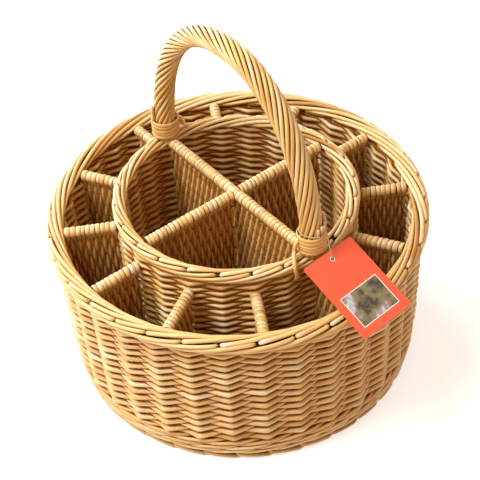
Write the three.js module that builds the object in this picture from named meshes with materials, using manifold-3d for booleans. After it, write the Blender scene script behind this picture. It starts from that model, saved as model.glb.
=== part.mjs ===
// Round willow drinks carrier: a low round basket with a taller bottle ring in its middle, glass places
// between the two walls, a cross of woven partitions for the bottles, and a roped arch handle that
// stands on the bottle ring. A card tag hangs on a string from the handle's front foot.
//
// Millimetres, +Z up. The origin is on the floor under the middle of the base, and +X points to the
// handle's front foot.

import * as THREE from "three";
import { mergeVertices } from "three/addons/utils/BufferGeometryUtils.js";
import Module from "manifold-3d";

const wasm = await Module();
wasm.setup();

// Clearances between neighbouring pieces
const SEAT_GAP = 0.3;
const END_GAP = 0.5;

// Outer basket
const BASKET_RADIUS = 260;
const BASKET_HEIGHT = 250;
const WALL_THICKNESS = 14;
const WALL_TAPER = 5;
const FOOT_BEND_HEIGHT = 40;
const FOOT_DRAW_IN = 9;
const BORDER_OVERHANG = 8;
const WEAVE_RELIEF = 5;
const WEAVE_FOOT = 50;
const WEAVE_ROWS = 14;

// Base, and the woven foot ring round it that the basket stands on
const BASE_LIFT = 3;
const BASE_THICKNESS = 10;
const BASE_EDGE_ROUND = 2;
const BASE_STICKS = 24;
const BASE_RELIEF = 2.5;
const WALE_HEIGHT = 12;
const WALE_ROUND = 3;

// Rolled rod border of the outer wall
const BORDER_DEPTH = 24;
const BORDER_STAKES = 34;
const BORDER_RODS = 8;
const BORDER_GROOVE = 2;

// Bottle ring, measured to the circle that its stakes stand on
const RING_RADIUS = 157.5;
const RING_RISE = 25.5;
const RING_WALL_THICKNESS = 13;
const RING_WEAVE_RELIEF = 4;
const RING_BORDER_DEPTH = 19;
const RING_STAKES = 24;
const RING_BORDER_RODS = 6;
const RING_BORDER_GROOVE = 1.7;

// Woven partitions and their wrapped top rails
const DIVIDER_COUNT = 12;
const PANEL_THICKNESS = 9;
const RAIL_DIAMETER = 12;
const DIVIDER_RAIL_DROP = 14;
const CROSS_RAIL_DROP = 8;
const WRAP_PITCH = 7;
const WRAP_GROOVE = 1.2;

// Handle: rods twisted round a bent bow, whose two ends go down into the bottle ring
const HANDLE_RISE = 228;
const HANDLE_SQUARENESS = 2.2;
const BOW_DIAMETER = 9;
const BOW_TAIL = 80;
const BOW_GRIP = 25;
const ROPE_CROWN_DIAMETER = 29;
const ROPE_FOOT_DIAMETER = 28;
const ROPE_STRANDS = 12;
const ROPE_GROOVE = 2;
const ROPE_TAPER_POWER = 1.5;
const ROPE_LEAD_FRONT = 350;
const ROPE_LEAD_CROWN = 98;
const ROPE_LEAD_BACK = 157;

// Wrapped bands round the handle's feet
const BAND_HEIGHT = 31;
const BAND_THICKNESS = 5.3;
const BAND_WRAPS = 6;
const BAND_GROOVE = 0.8;

// Card tag and its string
const TAG_WIDTH = 85;
const TAG_LENGTH = 116;
const TAG_THICKNESS = 0.8;
const TAG_CORNER = 3;
const TAG_HOLE_DIAMETER = 5;
const TAG_HOLE_INSET = 11;
const TAG_STANDOFF = 2.5;
const TAG_OFFSET = 6;
const TAG_SLOPE = THREE.MathUtils.degToRad(24);
const TAG_YAW = THREE.MathUtils.degToRad(4.8);
const STRING_DIAMETER = 1.4;
const STRING_LIFT = 4.5;
const STRING_LOOP_SLACK = 0.9;
const STRING_LOOP_START = 0.25;
const STRING_LOOP_TURNS = 0.82;
const STRING_WIDENS_FROM = 0.75;
const STRING_DROP_POINT = 0.4;

// Facets
const ROUND_SIDES = 60;
const FOOT_BEND_STEPS = 3;
const BORDER_STEPS_PER_STAKE = 2;
const RAIL_SIDES = 6;
const WRAP_STEPS = 2;
const BORE_SIDES = 12;
const BOW_SIDES = 8;
const ARCH_STEPS = 60;
const BAND_SIDES = 16;
const STRING_SIDES = 6;
const STRING_STEPS = 44;
const STRING_LOOP_POINTS = 16;
const CORNER_STEPS = 3;

// Points closer than this are one point
const MERGE_DISTANCE = 1e-4;

// Places that follow from the sizes above
const TAU = 2 * Math.PI;
const FLOOR = BASE_LIFT + BASE_THICKNESS;
const BORDER_RADIUS = BASKET_RADIUS - BORDER_DEPTH / 2;
const BORDER_CENTRE = BASKET_HEIGHT - BORDER_DEPTH / 2;
const BORDER_INSIDE = BASKET_RADIUS - BORDER_DEPTH;
const WALL_TOP = BASKET_HEIGHT - BORDER_DEPTH - SEAT_GAP;
const WALL_FOOT = WALE_HEIGHT + SEAT_GAP;
const RING_TOP = BASKET_HEIGHT + RING_RISE;
const RING_BORDER_CENTRE = RING_TOP - RING_BORDER_DEPTH / 2;
const RING_BORDER_INSIDE = RING_RADIUS - RING_BORDER_DEPTH / 2;
const RING_WALL_TOP = RING_TOP - RING_BORDER_DEPTH - SEAT_GAP;
const RING_OUTSIDE = RING_RADIUS + RING_WALL_THICKNESS / 2;
const RING_INSIDE = RING_RADIUS - RING_WALL_THICKNESS / 2;
const DIVIDER_RAIL_HEIGHT = BASKET_HEIGHT - DIVIDER_RAIL_DROP;
const CROSS_RAIL_HEIGHT = RING_TOP - CROSS_RAIL_DROP;
const HANDLE_FOOT = RING_TOP + SEAT_GAP;
const BAND_BORE = ROPE_FOOT_DIAMETER / 2 + END_GAP;
const BAND_RADIUS = BAND_BORE + BAND_THICKNESS;

/** Outside radius of the outer wall at a height, tapered above the foot bend and curved below it. */
function wallOutside(height) {
  const top = BASKET_RADIUS - BORDER_OVERHANG;
  const bend = top - WALL_TAPER;
  if (height >= FOOT_BEND_HEIGHT) {
    return bend + WALL_TAPER * (height - FOOT_BEND_HEIGHT) / (WALL_TOP - FOOT_BEND_HEIGHT);
  }
  return bend - FOOT_DRAW_IN * (1 - height / FOOT_BEND_HEIGHT) ** 2;
}

/** Inside radius of the outer wall at a height. */
function wallInside(height) {
  return wallOutside(height) - WALL_THICKNESS;
}

/** Heights at which the outer wall's profile has a corner, from a start height to the wall's top. */
function wallHeights(start) {
  const heights = [];
  for (let step = 0; step <= FOOT_BEND_STEPS; step += 1) {
    heights.push(start + (FOOT_BEND_HEIGHT - start) * step / FOOT_BEND_STEPS);
  }
  heights.push(WALL_TOP);
  return heights;
}

/** Volume inside an indexed closed mesh, negative where its faces point inwards. */
function signedVolume(positions, triangles) {
  const a = new THREE.Vector3();
  const b = new THREE.Vector3();
  const c = new THREE.Vector3();
  let volume = 0;
  for (let i = 0; i < triangles.length; i += 3) {
    a.fromBufferAttribute(positions, triangles[i]);
    b.fromBufferAttribute(positions, triangles[i + 1]);
    c.fromBufferAttribute(positions, triangles[i + 2]);
    volume += a.dot(b.cross(c)) / 6;
  }
  return volume;
}

/** One closed body from a geometry: shared vertices merged, flat triangles dropped, faces outwards. */
function closedBody(source) {
  const bare = source.clone();
  bare.deleteAttribute("normal");
  bare.deleteAttribute("uv");
  const merged = mergeVertices(bare, MERGE_DISTANCE);
  const index = merged.index.array;
  const triangles = [];
  for (let i = 0; i < index.length; i += 3) {
    const [a, b, c] = [index[i], index[i + 1], index[i + 2]];
    if (a !== b && b !== c && c !== a) {
      triangles.push(a, b, c);
    }
  }
  if (signedVolume(merged.attributes.position, triangles) < 0) {
    triangles.reverse();
  }
  merged.setIndex(triangles);
  merged.computeVertexNormals();
  return merged;
}

/** A geometry's closed body as a solid for cutting. */
function toSolid(geometry) {
  const body = closedBody(geometry);
  return new wasm.Manifold(new wasm.Mesh({
    numProp: 3,
    vertProperties: new Float32Array(body.attributes.position.array),
    triVerts: new Uint32Array(body.index.array),
  }));
}

/** The first geometry with each of the tools cut out of it. */
function cutAway(geometry, tools) {
  let solid = toSolid(geometry);
  for (const tool of tools) {
    solid = solid.subtract(toSolid(tool));
  }
  const mesh = solid.getMesh();
  const cut = new THREE.BufferGeometry();
  cut.setAttribute("position", new THREE.BufferAttribute(new Float32Array(mesh.vertProperties), 3));
  cut.setIndex(Array.from(mesh.triVerts));
  return cut;
}

/** A ring or disc turned about Z from a closed profile of [radius, height] corners. */
function turned(profile) {
  const corners = profile.map(([radius, height]) => new THREE.Vector2(radius, height));
  corners.push(corners[0].clone());
  return new THREE.LatheGeometry(corners, ROUND_SIDES).rotateX(Math.PI / 2);
}

/** A plate with an outline of [along, up] corners, stood on edge along X and centred on Y. */
function standingPlate(outline, thickness) {
  const shape = new THREE.Shape(outline.map(([along, up]) => new THREE.Vector2(along, up)));
  return new THREE.ExtrudeGeometry(shape, { depth: thickness, bevelEnabled: false })
    .rotateX(Math.PI / 2)
    .translate(0, thickness / 2, 0);
}

/** Geometry from rows of points, each row joined to the next, with extra triangles for the ends. */
function meshFromRows(rows, triangles) {
  const geometry = new THREE.BufferGeometry();
  geometry.setFromPoints(rows.flat());
  geometry.setIndex(triangles);
  return geometry;
}

/** Two triangles for each cell between two closed rows of points, the second row shifted round. */
function joinRows(triangles, first, second, count, shift = 0) {
  for (let j = 0; j < count; j += 1) {
    const next = (j + 1) % count;
    const a = first + j;
    const b = first + next;
    const c = second + (j + shift) % count;
    const d = second + (next + shift) % count;
    triangles.push(a, b, d, a, d, c);
  }
}

/** Woven shell: thick where the weavers pass round each stake, and thin from one stake to the next. */
function wovenShell({ outside, inside, stakes, relief }) {
  const steps = 2 * stakes;
  const rows = [];
  for (let i = 0; i < steps; i += 1) {
    const round = TAU * i / steps;
    const hollow = (i % 2) * relief;
    const row = [];
    for (const [radius, height] of outside) {
      row.push(new THREE.Vector3().setFromCylindricalCoords(radius - hollow, round, height));
    }
    for (const [radius, height] of inside) {
      row.push(new THREE.Vector3().setFromCylindricalCoords(radius + hollow, round, height));
    }
    rows.push(row);
  }
  const count = rows[0].length;
  const triangles = [];
  for (let i = 0; i < steps; i += 1) {
    joinRows(triangles, i * count, (i + 1) % steps * count, count);
  }
  return meshFromRows(rows, triangles).rotateX(Math.PI / 2).rotateZ(Math.PI / 2);
}

/** Rolled border: rods laid side by side that climb over the ring's section as they run round it. */
function rolledBorder({ radius, centre, depth, stakes, rods, groove }) {
  const sectionPoints = 2 * rods;
  const steps = stakes * BORDER_STEPS_PER_STAKE;
  const rows = [];
  const triangles = [];
  for (let i = 0; i < steps; i += 1) {
    const round = TAU * i / steps;
    const climb = round * stakes / rods;
    const row = [];
    for (let j = 0; j < sectionPoints; j += 1) {
      const angle = TAU * j / sectionPoints + climb;
      const size = depth / 2 - (j % 2) * groove;
      const reach = radius + size * Math.cos(angle);
      row.push(new THREE.Vector3(
        reach * Math.cos(round),
        reach * Math.sin(round),
        centre + size * Math.sin(angle),
      ));
    }
    rows.push(row);
  }
  const closingShift = (2 * stakes) % sectionPoints;
  for (let i = 0; i < steps; i += 1) {
    const last = i === steps - 1;
    const next = last ? 0 : i + 1;
    joinRows(triangles, i * sectionPoints, next * sectionPoints, sectionPoints, last ? closingShift : 0);
  }
  return meshFromRows(rows, triangles);
}

/** The handle's centre line, from its front foot over the crown to its back foot. */
class HandleArch extends THREE.Curve {
  getPoint(t, target = new THREE.Vector3()) {
    const power = 2 / HANDLE_SQUARENESS;
    const across = Math.cos(Math.PI * t);
    const up = Math.max(Math.sin(Math.PI * t), 0);
    return target.set(
      RING_RADIUS * Math.sign(across) * Math.abs(across) ** power,
      0,
      HANDLE_FOOT + HANDLE_RISE * up ** power,
    );
  }
}

const ARCH = new HandleArch();
const ARCH_LENGTH = ARCH.getLength();

/** Stations along the handle between two shares of its length, each with its point and directions. */
function archStations(from, to, steps) {
  const sideways = new THREE.Vector3(0, 1, 0);
  const stations = [];
  for (let i = 0; i <= steps; i += 1) {
    const share = from + (to - from) * i / steps;
    const along = ARCH.getTangentAt(share);
    if (share === 0 || share === 1) {
      along.set(0, 0, share === 0 ? 1 : -1);
    }
    stations.push({
      share,
      point: ARCH.getPointAt(share),
      outward: sideways.clone().cross(along),
      sideways,
    });
  }
  return stations;
}

/** Radius of the roped handle at a share of its length, slimmer at the feet than at the crown. */
function ropeRadius(share) {
  const footness = Math.abs(2 * share - 1) ** ROPE_TAPER_POWER;
  return (ROPE_CROWN_DIAMETER + (ROPE_FOOT_DIAMETER - ROPE_CROWN_DIAMETER) * footness) / 2;
}

/** Turn of the rope's strands at a share of the handle's length, twisted tightest at the crown. */
function ropeTurn(share) {
  const front = TAU / ROPE_LEAD_FRONT;
  const back = TAU / ROPE_LEAD_BACK;
  const tightening = TAU / ROPE_LEAD_CROWN - (front + back) / 2;
  const cosine = Math.cos(Math.PI * share);
  const tightened = (2 / 3 - cosine + cosine ** 3 / 3) / Math.PI;
  const even = front * share + (back - front) * share ** 2 / 2;
  return ARCH_LENGTH * (even + tightening * tightened);
}

/** A row of points round a station, for a radius that may change with the point's number. */
function rowRound(station, count, turn, radiusOf) {
  const row = [];
  for (let j = 0; j < count; j += 1) {
    const angle = TAU * j / count + turn;
    const radius = radiusOf(j);
    row.push(station.point.clone()
      .addScaledVector(station.outward, radius * Math.cos(angle))
      .addScaledVector(station.sideways, radius * Math.sin(angle)));
  }
  return row;
}

/** A solid bar through rows of points, with a fan of triangles over each end. */
function bar(rows) {
  const count = rows[0].length;
  const triangles = [];
  for (let i = 0; i + 1 < rows.length; i += 1) {
    joinRows(triangles, i * count, (i + 1) * count, count);
  }
  const last = (rows.length - 1) * count;
  for (let j = 1; j + 1 < count; j += 1) {
    triangles.push(0, j + 1, j);
    triangles.push(last, last + j, last + j + 1);
  }
  return meshFromRows(rows, triangles);
}

/** A sleeve: rows of points along its outside, and back along its bore to where they started. */
function sleeve(outsideRows, boreRows) {
  const rows = [...outsideRows, ...boreRows.reverse()];
  const count = rows[0].length;
  const triangles = [];
  for (let i = 0; i < rows.length; i += 1) {
    const next = (i + 1) % rows.length;
    joinRows(triangles, i * count, next * count, count);
  }
  return meshFromRows(rows, triangles);
}

/** A rail along X between two distances from the basket's axis, wrapped from end to end. */
function wrappedRail(from, to, height) {
  const wraps = Math.round((to - from) / WRAP_PITCH);
  const steps = WRAP_STEPS * wraps;
  const rows = [];
  for (let i = 0; i <= steps; i += 1) {
    const row = [];
    for (let j = 0; j < RAIL_SIDES; j += 1) {
      const angle = TAU * j / RAIL_SIDES;
      const hollow = (1 - Math.cos(TAU * i / WRAP_STEPS - angle)) / 2;
      const radius = RAIL_DIAMETER / 2 - WRAP_GROOVE * hollow;
      row.push(new THREE.Vector3(
        from + (to - from) * i / steps,
        radius * Math.sin(angle),
        height - radius * Math.cos(angle),
      ));
    }
    rows.push(row);
  }
  return bar(rows);
}

/** Woven base panel: a round disc with softened edges, thick along its sticks and thin between them. */
function basePanel() {
  const radius = wallInside(0) - END_GAP;
  const steps = 2 * BASE_STICKS;
  const rows = [];
  const triangles = [];
  for (let i = 0; i < steps; i += 1) {
    const round = TAU * i / steps;
    const hollow = (i % 2) * BASE_RELIEF;
    const outline = [
      [0, BASE_LIFT],
      [radius - BASE_EDGE_ROUND, BASE_LIFT + hollow],
      [radius, BASE_LIFT + BASE_EDGE_ROUND + hollow],
      [radius, FLOOR - BASE_EDGE_ROUND - hollow],
      [radius - BASE_EDGE_ROUND, FLOOR - hollow],
      [0, FLOOR],
    ];
    rows.push(outline.map(([reach, height]) => (
      new THREE.Vector3(reach * Math.cos(round), reach * Math.sin(round), height)
    )));
  }
  const count = rows[0].length;
  for (let i = 0; i < steps; i += 1) {
    joinRows(triangles, i * count, (i + 1) % steps * count, count);
  }
  return meshFromRows(rows, triangles);
}

/** Foot wale: the ring round the base, flat where it stands and rounded where it shows. */
function footWale() {
  const inside = wallInside(0) + SEAT_GAP;
  return turned([
    [inside, 0],
    [wallOutside(0) - WALE_ROUND, 0],
    [wallOutside(WALE_ROUND), WALE_ROUND],
    [wallOutside(WALE_HEIGHT), WALE_HEIGHT],
    [inside, WALE_HEIGHT],
  ]);
}

/** A ring of points, one for each stake of the outer wall, shifted from it by a share of a spacing. */
function stakeRing(radius, height, shift) {
  const ring = [];
  for (let i = 0; i < BORDER_STAKES; i += 1) {
    const round = TAU * (i + shift) / BORDER_STAKES;
    ring.push(new THREE.Vector3(radius * Math.cos(round), radius * Math.sin(round), height));
  }
  return ring;
}

/** Four triangles for each weaver's back, from the hollows round it up to its middle over the stake. */
function joinBacks(triangles, lower, upper, backs) {
  for (let i = 0; i < BORDER_STAKES; i += 1) {
    const next = (i + 1) % BORDER_STAKES;
    const back = backs + next;
    triangles.push(back, lower + i, lower + next);
    triangles.push(back, lower + next, upper + next);
    triangles.push(back, upper + next, upper + i);
    triangles.push(back, upper + i, lower + i);
  }
}

/** Outer wall: a tapered shell, its foot curved in to the base and its weavers' backs standing out. */
function outerWall() {
  const between = 0.5;
  const rows = [];
  const triangles = [];
  const footHeights = wallHeights(WALL_FOOT).slice(0, -1);
  for (const height of footHeights) {
    rows.push(stakeRing(wallOutside(height), height, between));
  }
  const pitch = (WALL_TOP - WEAVE_FOOT) / WEAVE_ROWS;
  for (let row = 0; row <= WEAVE_ROWS; row += 1) {
    const height = WEAVE_FOOT + pitch * row;
    rows.push(stakeRing(wallOutside(height) - WEAVE_RELIEF, height, between));
  }
  const toCorner = Math.cos(Math.PI / BORDER_STAKES);
  for (const height of wallHeights(WALL_FOOT).reverse()) {
    rows.push(stakeRing(wallInside(height) / toCorner, height, between));
  }
  const loop = rows.length;
  for (let row = 0; row < WEAVE_ROWS; row += 1) {
    const height = WEAVE_FOOT + pitch * (row + between);
    rows.push(stakeRing(wallOutside(height), height, 0));
  }
  for (let i = 0; i < loop; i += 1) {
    const first = i * BORDER_STAKES;
    const second = (i + 1) % loop * BORDER_STAKES;
    const weaveRow = i - footHeights.length;
    if (weaveRow >= 0 && weaveRow < WEAVE_ROWS) {
      joinBacks(triangles, first, second, (loop + weaveRow) * BORDER_STAKES);
    } else {
      joinRows(triangles, first, second, BORDER_STAKES);
    }
  }
  return meshFromRows(rows, triangles);
}

/** An upright round bar at one foot of the handle, as long as the bow's end and a margin past it. */
function uprightBar(side, radius, margin, facets) {
  const top = HANDLE_FOOT + BOW_GRIP + margin;
  const bottom = HANDLE_FOOT - BOW_TAIL - margin;
  return new THREE.CylinderGeometry(radius, radius, top - bottom, facets)
    .rotateX(Math.PI / 2)
    .translate(side * RING_RADIUS, 0, (top + bottom) / 2);
}

/** End of the handle's bow, let into the handle's foot and pushed down into the bottle ring. */
function bowEnd(side) {
  return uprightBar(side, BOW_DIAMETER / 2, 0, BOW_SIDES);
}

/** Hole for the bow's end, through the bottle ring's border and up into the handle's foot. */
function bowBore(side) {
  return uprightBar(side, BOW_DIAMETER / 2 + END_GAP, END_GAP, BORE_SIDES);
}

/** Woven wall of the bottle ring, with a hole at each foot for the handle's bow. */
function ringWall() {
  const foot = FLOOR + SEAT_GAP;
  const shell = wovenShell({
    outside: [[RING_OUTSIDE, foot], [RING_OUTSIDE, RING_WALL_TOP]],
    inside: [[RING_INSIDE, RING_WALL_TOP], [RING_INSIDE, foot]],
    stakes: RING_STAKES,
    relief: RING_WEAVE_RELIEF,
  });
  return cutAway(shell, [bowBore(1), bowBore(-1)]);
}

/** Border of the bottle ring, with a hole at each foot for the handle's bow. */
function ringBorder() {
  const border = rolledBorder({
    radius: RING_RADIUS,
    centre: RING_BORDER_CENTRE,
    depth: RING_BORDER_DEPTH,
    stakes: RING_STAKES,
    rods: RING_BORDER_RODS,
    groove: RING_BORDER_GROOVE,
  });
  return cutAway(border, [bowBore(1), bowBore(-1)]);
}

/** Partition between two glass places, from the bottle ring to the outer wall and under the border. */
function dividerPanel() {
  const foot = FLOOR + SEAT_GAP;
  const top = DIVIDER_RAIL_HEIGHT - RAIL_DIAMETER / 2 - SEAT_GAP;
  const underBorder = Math.min(wallInside(WALL_TOP), BORDER_INSIDE) - END_GAP;
  return standingPlate([
    [RING_OUTSIDE + END_GAP, foot],
    ...wallHeights(foot).map((height) => [wallInside(height) - END_GAP, height]),
    [underBorder, WALL_TOP],
    [underBorder, top],
    [RING_OUTSIDE + END_GAP, top],
  ], PANEL_THICKNESS);
}

/** Partition of the bottle cross, from a start on one side to the bottle ring on the other. */
function crossPanel(start) {
  const foot = FLOOR + SEAT_GAP;
  const top = CROSS_RAIL_HEIGHT - RAIL_DIAMETER / 2 - SEAT_GAP;
  const end = [
    [RING_INSIDE - END_GAP, foot],
    [RING_INSIDE - END_GAP, RING_WALL_TOP],
    [RING_BORDER_INSIDE - END_GAP, RING_WALL_TOP],
    [RING_BORDER_INSIDE - END_GAP, top],
  ];
  const farEnd = end.map(([along, up]) => [-along, up]).reverse();
  const nearEnd = [[start, top], [start, foot]];
  return standingPlate([...end, ...(start === undefined ? farEnd : nearEnd)], PANEL_THICKNESS);
}

/** Rods twisted round the bow, slim where the bands hold them at the feet. */
function handleRope() {
  const rows = archStations(0, 1, ARCH_STEPS).map((station) => rowRound(
    station,
    2 * ROPE_STRANDS,
    ropeTurn(station.share),
    (j) => ropeRadius(station.share) - (j % 2) * ROPE_GROOVE,
  ));
  return cutAway(bar(rows), [bowBore(1), bowBore(-1)]);
}

/** Wrapped band round one foot of the handle, with a groove between each wrap and the next. */
function footBand(front) {
  const reach = BAND_HEIGHT / ARCH_LENGTH;
  const stations = archStations(front ? 0 : 1 - reach, front ? reach : 1, 2 * BAND_WRAPS);
  const outerRows = stations.map((station, i) => rowRound(
    station,
    BAND_SIDES,
    0,
    () => BAND_RADIUS - (1 - i % 2) * BAND_GROOVE,
  ));
  const boreRows = stations.map((station) => rowRound(station, BAND_SIDES, 0, () => BAND_BORE));
  return sleeve(outerRows, boreRows);
}

/** Centre of the tag's string hole, on a slope that rests the card on the outer border. */
function tagHole() {
  const along = RING_RADIUS + BAND_RADIUS + TAG_STANDOFF + TAG_HOLE_INSET * Math.cos(TAG_SLOPE);
  const stand = BORDER_DEPTH / 2 + SEAT_GAP + TAG_THICKNESS / 2;
  const rise = (stand + (BORDER_RADIUS - along) * Math.sin(TAG_SLOPE)) / Math.cos(TAG_SLOPE);
  return new THREE.Vector3(along, TAG_OFFSET, BORDER_CENTRE + rise);
}

/** Card tag with round corners, its string hole at the origin and its length along X. */
function tagCard() {
  const near = -TAG_HOLE_INSET;
  const far = TAG_LENGTH - TAG_HOLE_INSET;
  const side = TAG_WIDTH / 2;
  const shape = new THREE.Shape();
  shape.absarc(far - TAG_CORNER, side - TAG_CORNER, TAG_CORNER, 0, TAU / 4);
  shape.absarc(near + TAG_CORNER, side - TAG_CORNER, TAG_CORNER, TAU / 4, TAU / 2);
  shape.absarc(near + TAG_CORNER, TAG_CORNER - side, TAG_CORNER, TAU / 2, 3 * TAU / 4);
  shape.absarc(far - TAG_CORNER, TAG_CORNER - side, TAG_CORNER, 3 * TAU / 4, TAU);
  const hole = new THREE.Path();
  hole.absarc(0, 0, TAG_HOLE_DIAMETER / 2, 0, TAU, true);
  shape.holes.push(hole);
  const settings = { depth: TAG_THICKNESS, bevelEnabled: false, curveSegments: 4 * CORNER_STEPS };
  return new THREE.ExtrudeGeometry(shape, settings).translate(0, 0, -TAG_THICKNESS / 2);
}

/** String from a loop round the handle, just above the front band, over the band to the tag's hole. */
function tagString() {
  const bandTop = BAND_HEIGHT / ARCH_LENGTH;
  const loopShare = (BAND_HEIGHT + STRING_LIFT) / ARCH_LENGTH;
  const centre = ARCH.getPointAt(loopShare);
  const loopRadius = ropeRadius(bandTop) + STRING_DIAMETER / 2 + STRING_LOOP_SLACK;
  const overBand = BAND_RADIUS + STRING_DIAMETER / 2 + STRING_LOOP_SLACK;
  const points = [];
  for (let i = 0; i <= STRING_LOOP_POINTS; i += 1) {
    const share = i / STRING_LOOP_POINTS;
    const angle = TAU * (STRING_LOOP_START + STRING_LOOP_TURNS * share);
    const widened = Math.max(0, share - STRING_WIDENS_FROM) / (1 - STRING_WIDENS_FROM);
    const radius = loopRadius + (overBand - loopRadius) * widened;
    points.push(new THREE.Vector3(
      centre.x + radius * Math.cos(angle),
      centre.y + radius * Math.sin(angle),
      centre.z - STRING_DIAMETER * share,
    ));
  }
  const hole = tagHole();
  const lastTurn = points[points.length - 1];
  points.push(lastTurn.clone().lerp(hole, STRING_DROP_POINT));
  points.push(hole);
  const section = new THREE.Shape();
  section.absarc(0, 0, STRING_DIAMETER / 2, 0, TAU);
  return new THREE.ExtrudeGeometry(section, {
    curveSegments: STRING_SIDES,
    steps: STRING_STEPS,
    extrudePath: new THREE.CatmullRomCurve3(points),
    bevelEnabled: false,
  });
}

/** A material for one mesh. */
function finish(color, roughness) {
  return new THREE.MeshStandardMaterial({ color, roughness, metalness: 0 });
}

const honeyWillow = () => finish(0xc9974f, 0.55);
const paleWillow = () => finish(0xdcb878, 0.5);
const darkWillow = () => finish(0xa9743a, 0.6);
const coralCard = () => finish(0xe8694a, 0.45);
const paleString = () => finish(0xe9dcc4, 0.8);

/** A named mesh of one piece. */
function piece(name, geometry, material) {
  const mesh = new THREE.Mesh(closedBody(geometry), material);
  mesh.name = name;
  return mesh;
}

/** The low basket: base, foot wale, wall and rolled border. */
function buildBasket() {
  const border = rolledBorder({
    radius: BORDER_RADIUS,
    centre: BORDER_CENTRE,
    depth: BORDER_DEPTH,
    stakes: BORDER_STAKES,
    rods: BORDER_RODS,
    groove: BORDER_GROOVE,
  });
  return new THREE.Group().add(
    piece("base_panel", basePanel(), darkWillow()),
    piece("foot_wale", footWale(), honeyWillow()),
    piece("outer_wall", outerWall(), honeyWillow()),
    piece("outer_border", border, paleWillow()),
  );
}

/** The bottle ring and the cross of partitions inside it. */
function buildBottleRing() {
  const railEnd = RING_BORDER_INSIDE - END_GAP;
  const group = new THREE.Group().add(
    piece("ring_wall", ringWall(), honeyWillow()),
    piece("ring_border", ringBorder(), paleWillow()),
    piece("cross_panel_long", crossPanel(), darkWillow()),
    piece("cross_rail_long", wrappedRail(-railEnd, railEnd, CROSS_RAIL_HEIGHT), paleWillow()),
  );
  const sides = [["left", 1], ["right", -1]];
  for (const [name, side] of sides) {
    const arm = new THREE.Group();
    arm.rotation.z = side * TAU / 4;
    arm.add(
      piece(`cross_panel_${name}`, crossPanel(PANEL_THICKNESS / 2 + SEAT_GAP), darkWillow()),
      piece(
        `cross_rail_${name}`,
        wrappedRail(RAIL_DIAMETER / 2 + SEAT_GAP, railEnd, CROSS_RAIL_HEIGHT),
        paleWillow(),
      ),
    );
    group.add(arm);
  }
  return group;
}

/** The ring of partitions between the glass places. */
function buildDividers() {
  const group = new THREE.Group();
  for (let i = 0; i < DIVIDER_COUNT; i += 1) {
    const number = String(i + 1).padStart(2, "0");
    const spoke = new THREE.Group();
    spoke.rotation.z = TAU * i / DIVIDER_COUNT;
    spoke.add(
      piece(`divider_panel_${number}`, dividerPanel(), darkWillow()),
      piece(
        `divider_rail_${number}`,
        wrappedRail(RING_OUTSIDE + END_GAP, BORDER_INSIDE - END_GAP, DIVIDER_RAIL_HEIGHT),
        paleWillow(),
      ),
    );
    group.add(spoke);
  }
  return group;
}

/** The arch handle with its twisted rods, the ends of its bow and its foot bands. */
function buildHandle() {
  return new THREE.Group().add(
    piece("handle_rope", handleRope(), honeyWillow()),
    piece("bow_end_front", bowEnd(1), darkWillow()),
    piece("bow_end_back", bowEnd(-1), darkWillow()),
    piece("foot_band_front", footBand(true), paleWillow()),
    piece("foot_band_back", footBand(false), paleWillow()),
  );
}

/** The card tag, turned to lie on the outer border, and the string that holds it. */
function buildTag() {
  const card = new THREE.Group();
  card.rotation.set(0, TAG_SLOPE, TAG_YAW, "ZYX");
  card.position.copy(tagHole());
  card.add(piece("swing_tag", tagCard(), coralCard()));
  return new THREE.Group().add(card, piece("tag_string", tagString(), paleString()));
}

const carrier = new THREE.Group();
carrier.add(buildBasket(), buildBottleRing(), buildDividers(), buildHandle(), buildTag());

export default carrier;
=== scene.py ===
"""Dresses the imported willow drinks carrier: woven walls, rolled borders, roped handle and card tag."""

import logging
import math
from collections.abc import Callable
from dataclasses import dataclass, field
from enum import Enum

import bpy
import numpy as np
from mathutils import Matrix, Vector


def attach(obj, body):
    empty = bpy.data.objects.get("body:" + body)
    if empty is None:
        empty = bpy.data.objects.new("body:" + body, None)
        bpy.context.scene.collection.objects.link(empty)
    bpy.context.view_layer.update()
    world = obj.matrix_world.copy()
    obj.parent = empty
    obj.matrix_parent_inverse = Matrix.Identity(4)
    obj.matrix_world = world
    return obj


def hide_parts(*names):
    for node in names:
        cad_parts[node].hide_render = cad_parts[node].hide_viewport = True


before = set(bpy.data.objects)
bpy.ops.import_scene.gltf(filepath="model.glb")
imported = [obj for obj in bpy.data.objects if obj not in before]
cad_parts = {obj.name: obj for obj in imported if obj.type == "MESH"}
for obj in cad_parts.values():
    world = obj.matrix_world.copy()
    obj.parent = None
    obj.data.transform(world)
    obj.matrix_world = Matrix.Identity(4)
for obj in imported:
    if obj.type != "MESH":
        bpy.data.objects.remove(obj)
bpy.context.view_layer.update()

LOG = logging.getLogger("carrier")
MM = 0.001
TAU = 2 * math.pi
X_AXIS = np.array([1.0, 0.0, 0.0])
Y_AXIS = np.array([0.0, 1.0, 0.0])
UP = np.array([0.0, 0.0, 1.0])
# Tone of the near-black cores: painted shade that shows through gaps in the weave.
CORE_SHADE_TONE = 0.0
# Tone of the dark rods laid in the weave's gaps: painted shade.
GAP_SHADE_TONE = 0.06
LEAST_TONE = 0.12
MIDDLE_TONE = 0.5
MOST_TONE = 0.97
CORE_STEPS = 96
SMOOTH_ANGLE = math.radians(75)
MIX_FACTOR = 0
MIX_FIRST = 6
MIX_SECOND = 7
MIX_RESULT = 2

Array = np.ndarray
Colour = tuple[float, float, float, float]
Triple = tuple[float, float, float]
Span = tuple[float, float]
Profile = Callable[[Array], Array]

WHITE: Colour = (1.0, 1.0, 1.0, 1.0)


class Body(Enum):
    """Rigid bodies of the frame that a piece can ride on."""

    BASKET = "basket"
    TAG = "tag"


class Slot(Enum):
    """Material slots of the record."""

    HONEY = "willow_honey"
    PALE = "willow_pale"
    DARK = "willow_dark"
    CARD = "card"
    STRING = "string"


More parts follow.
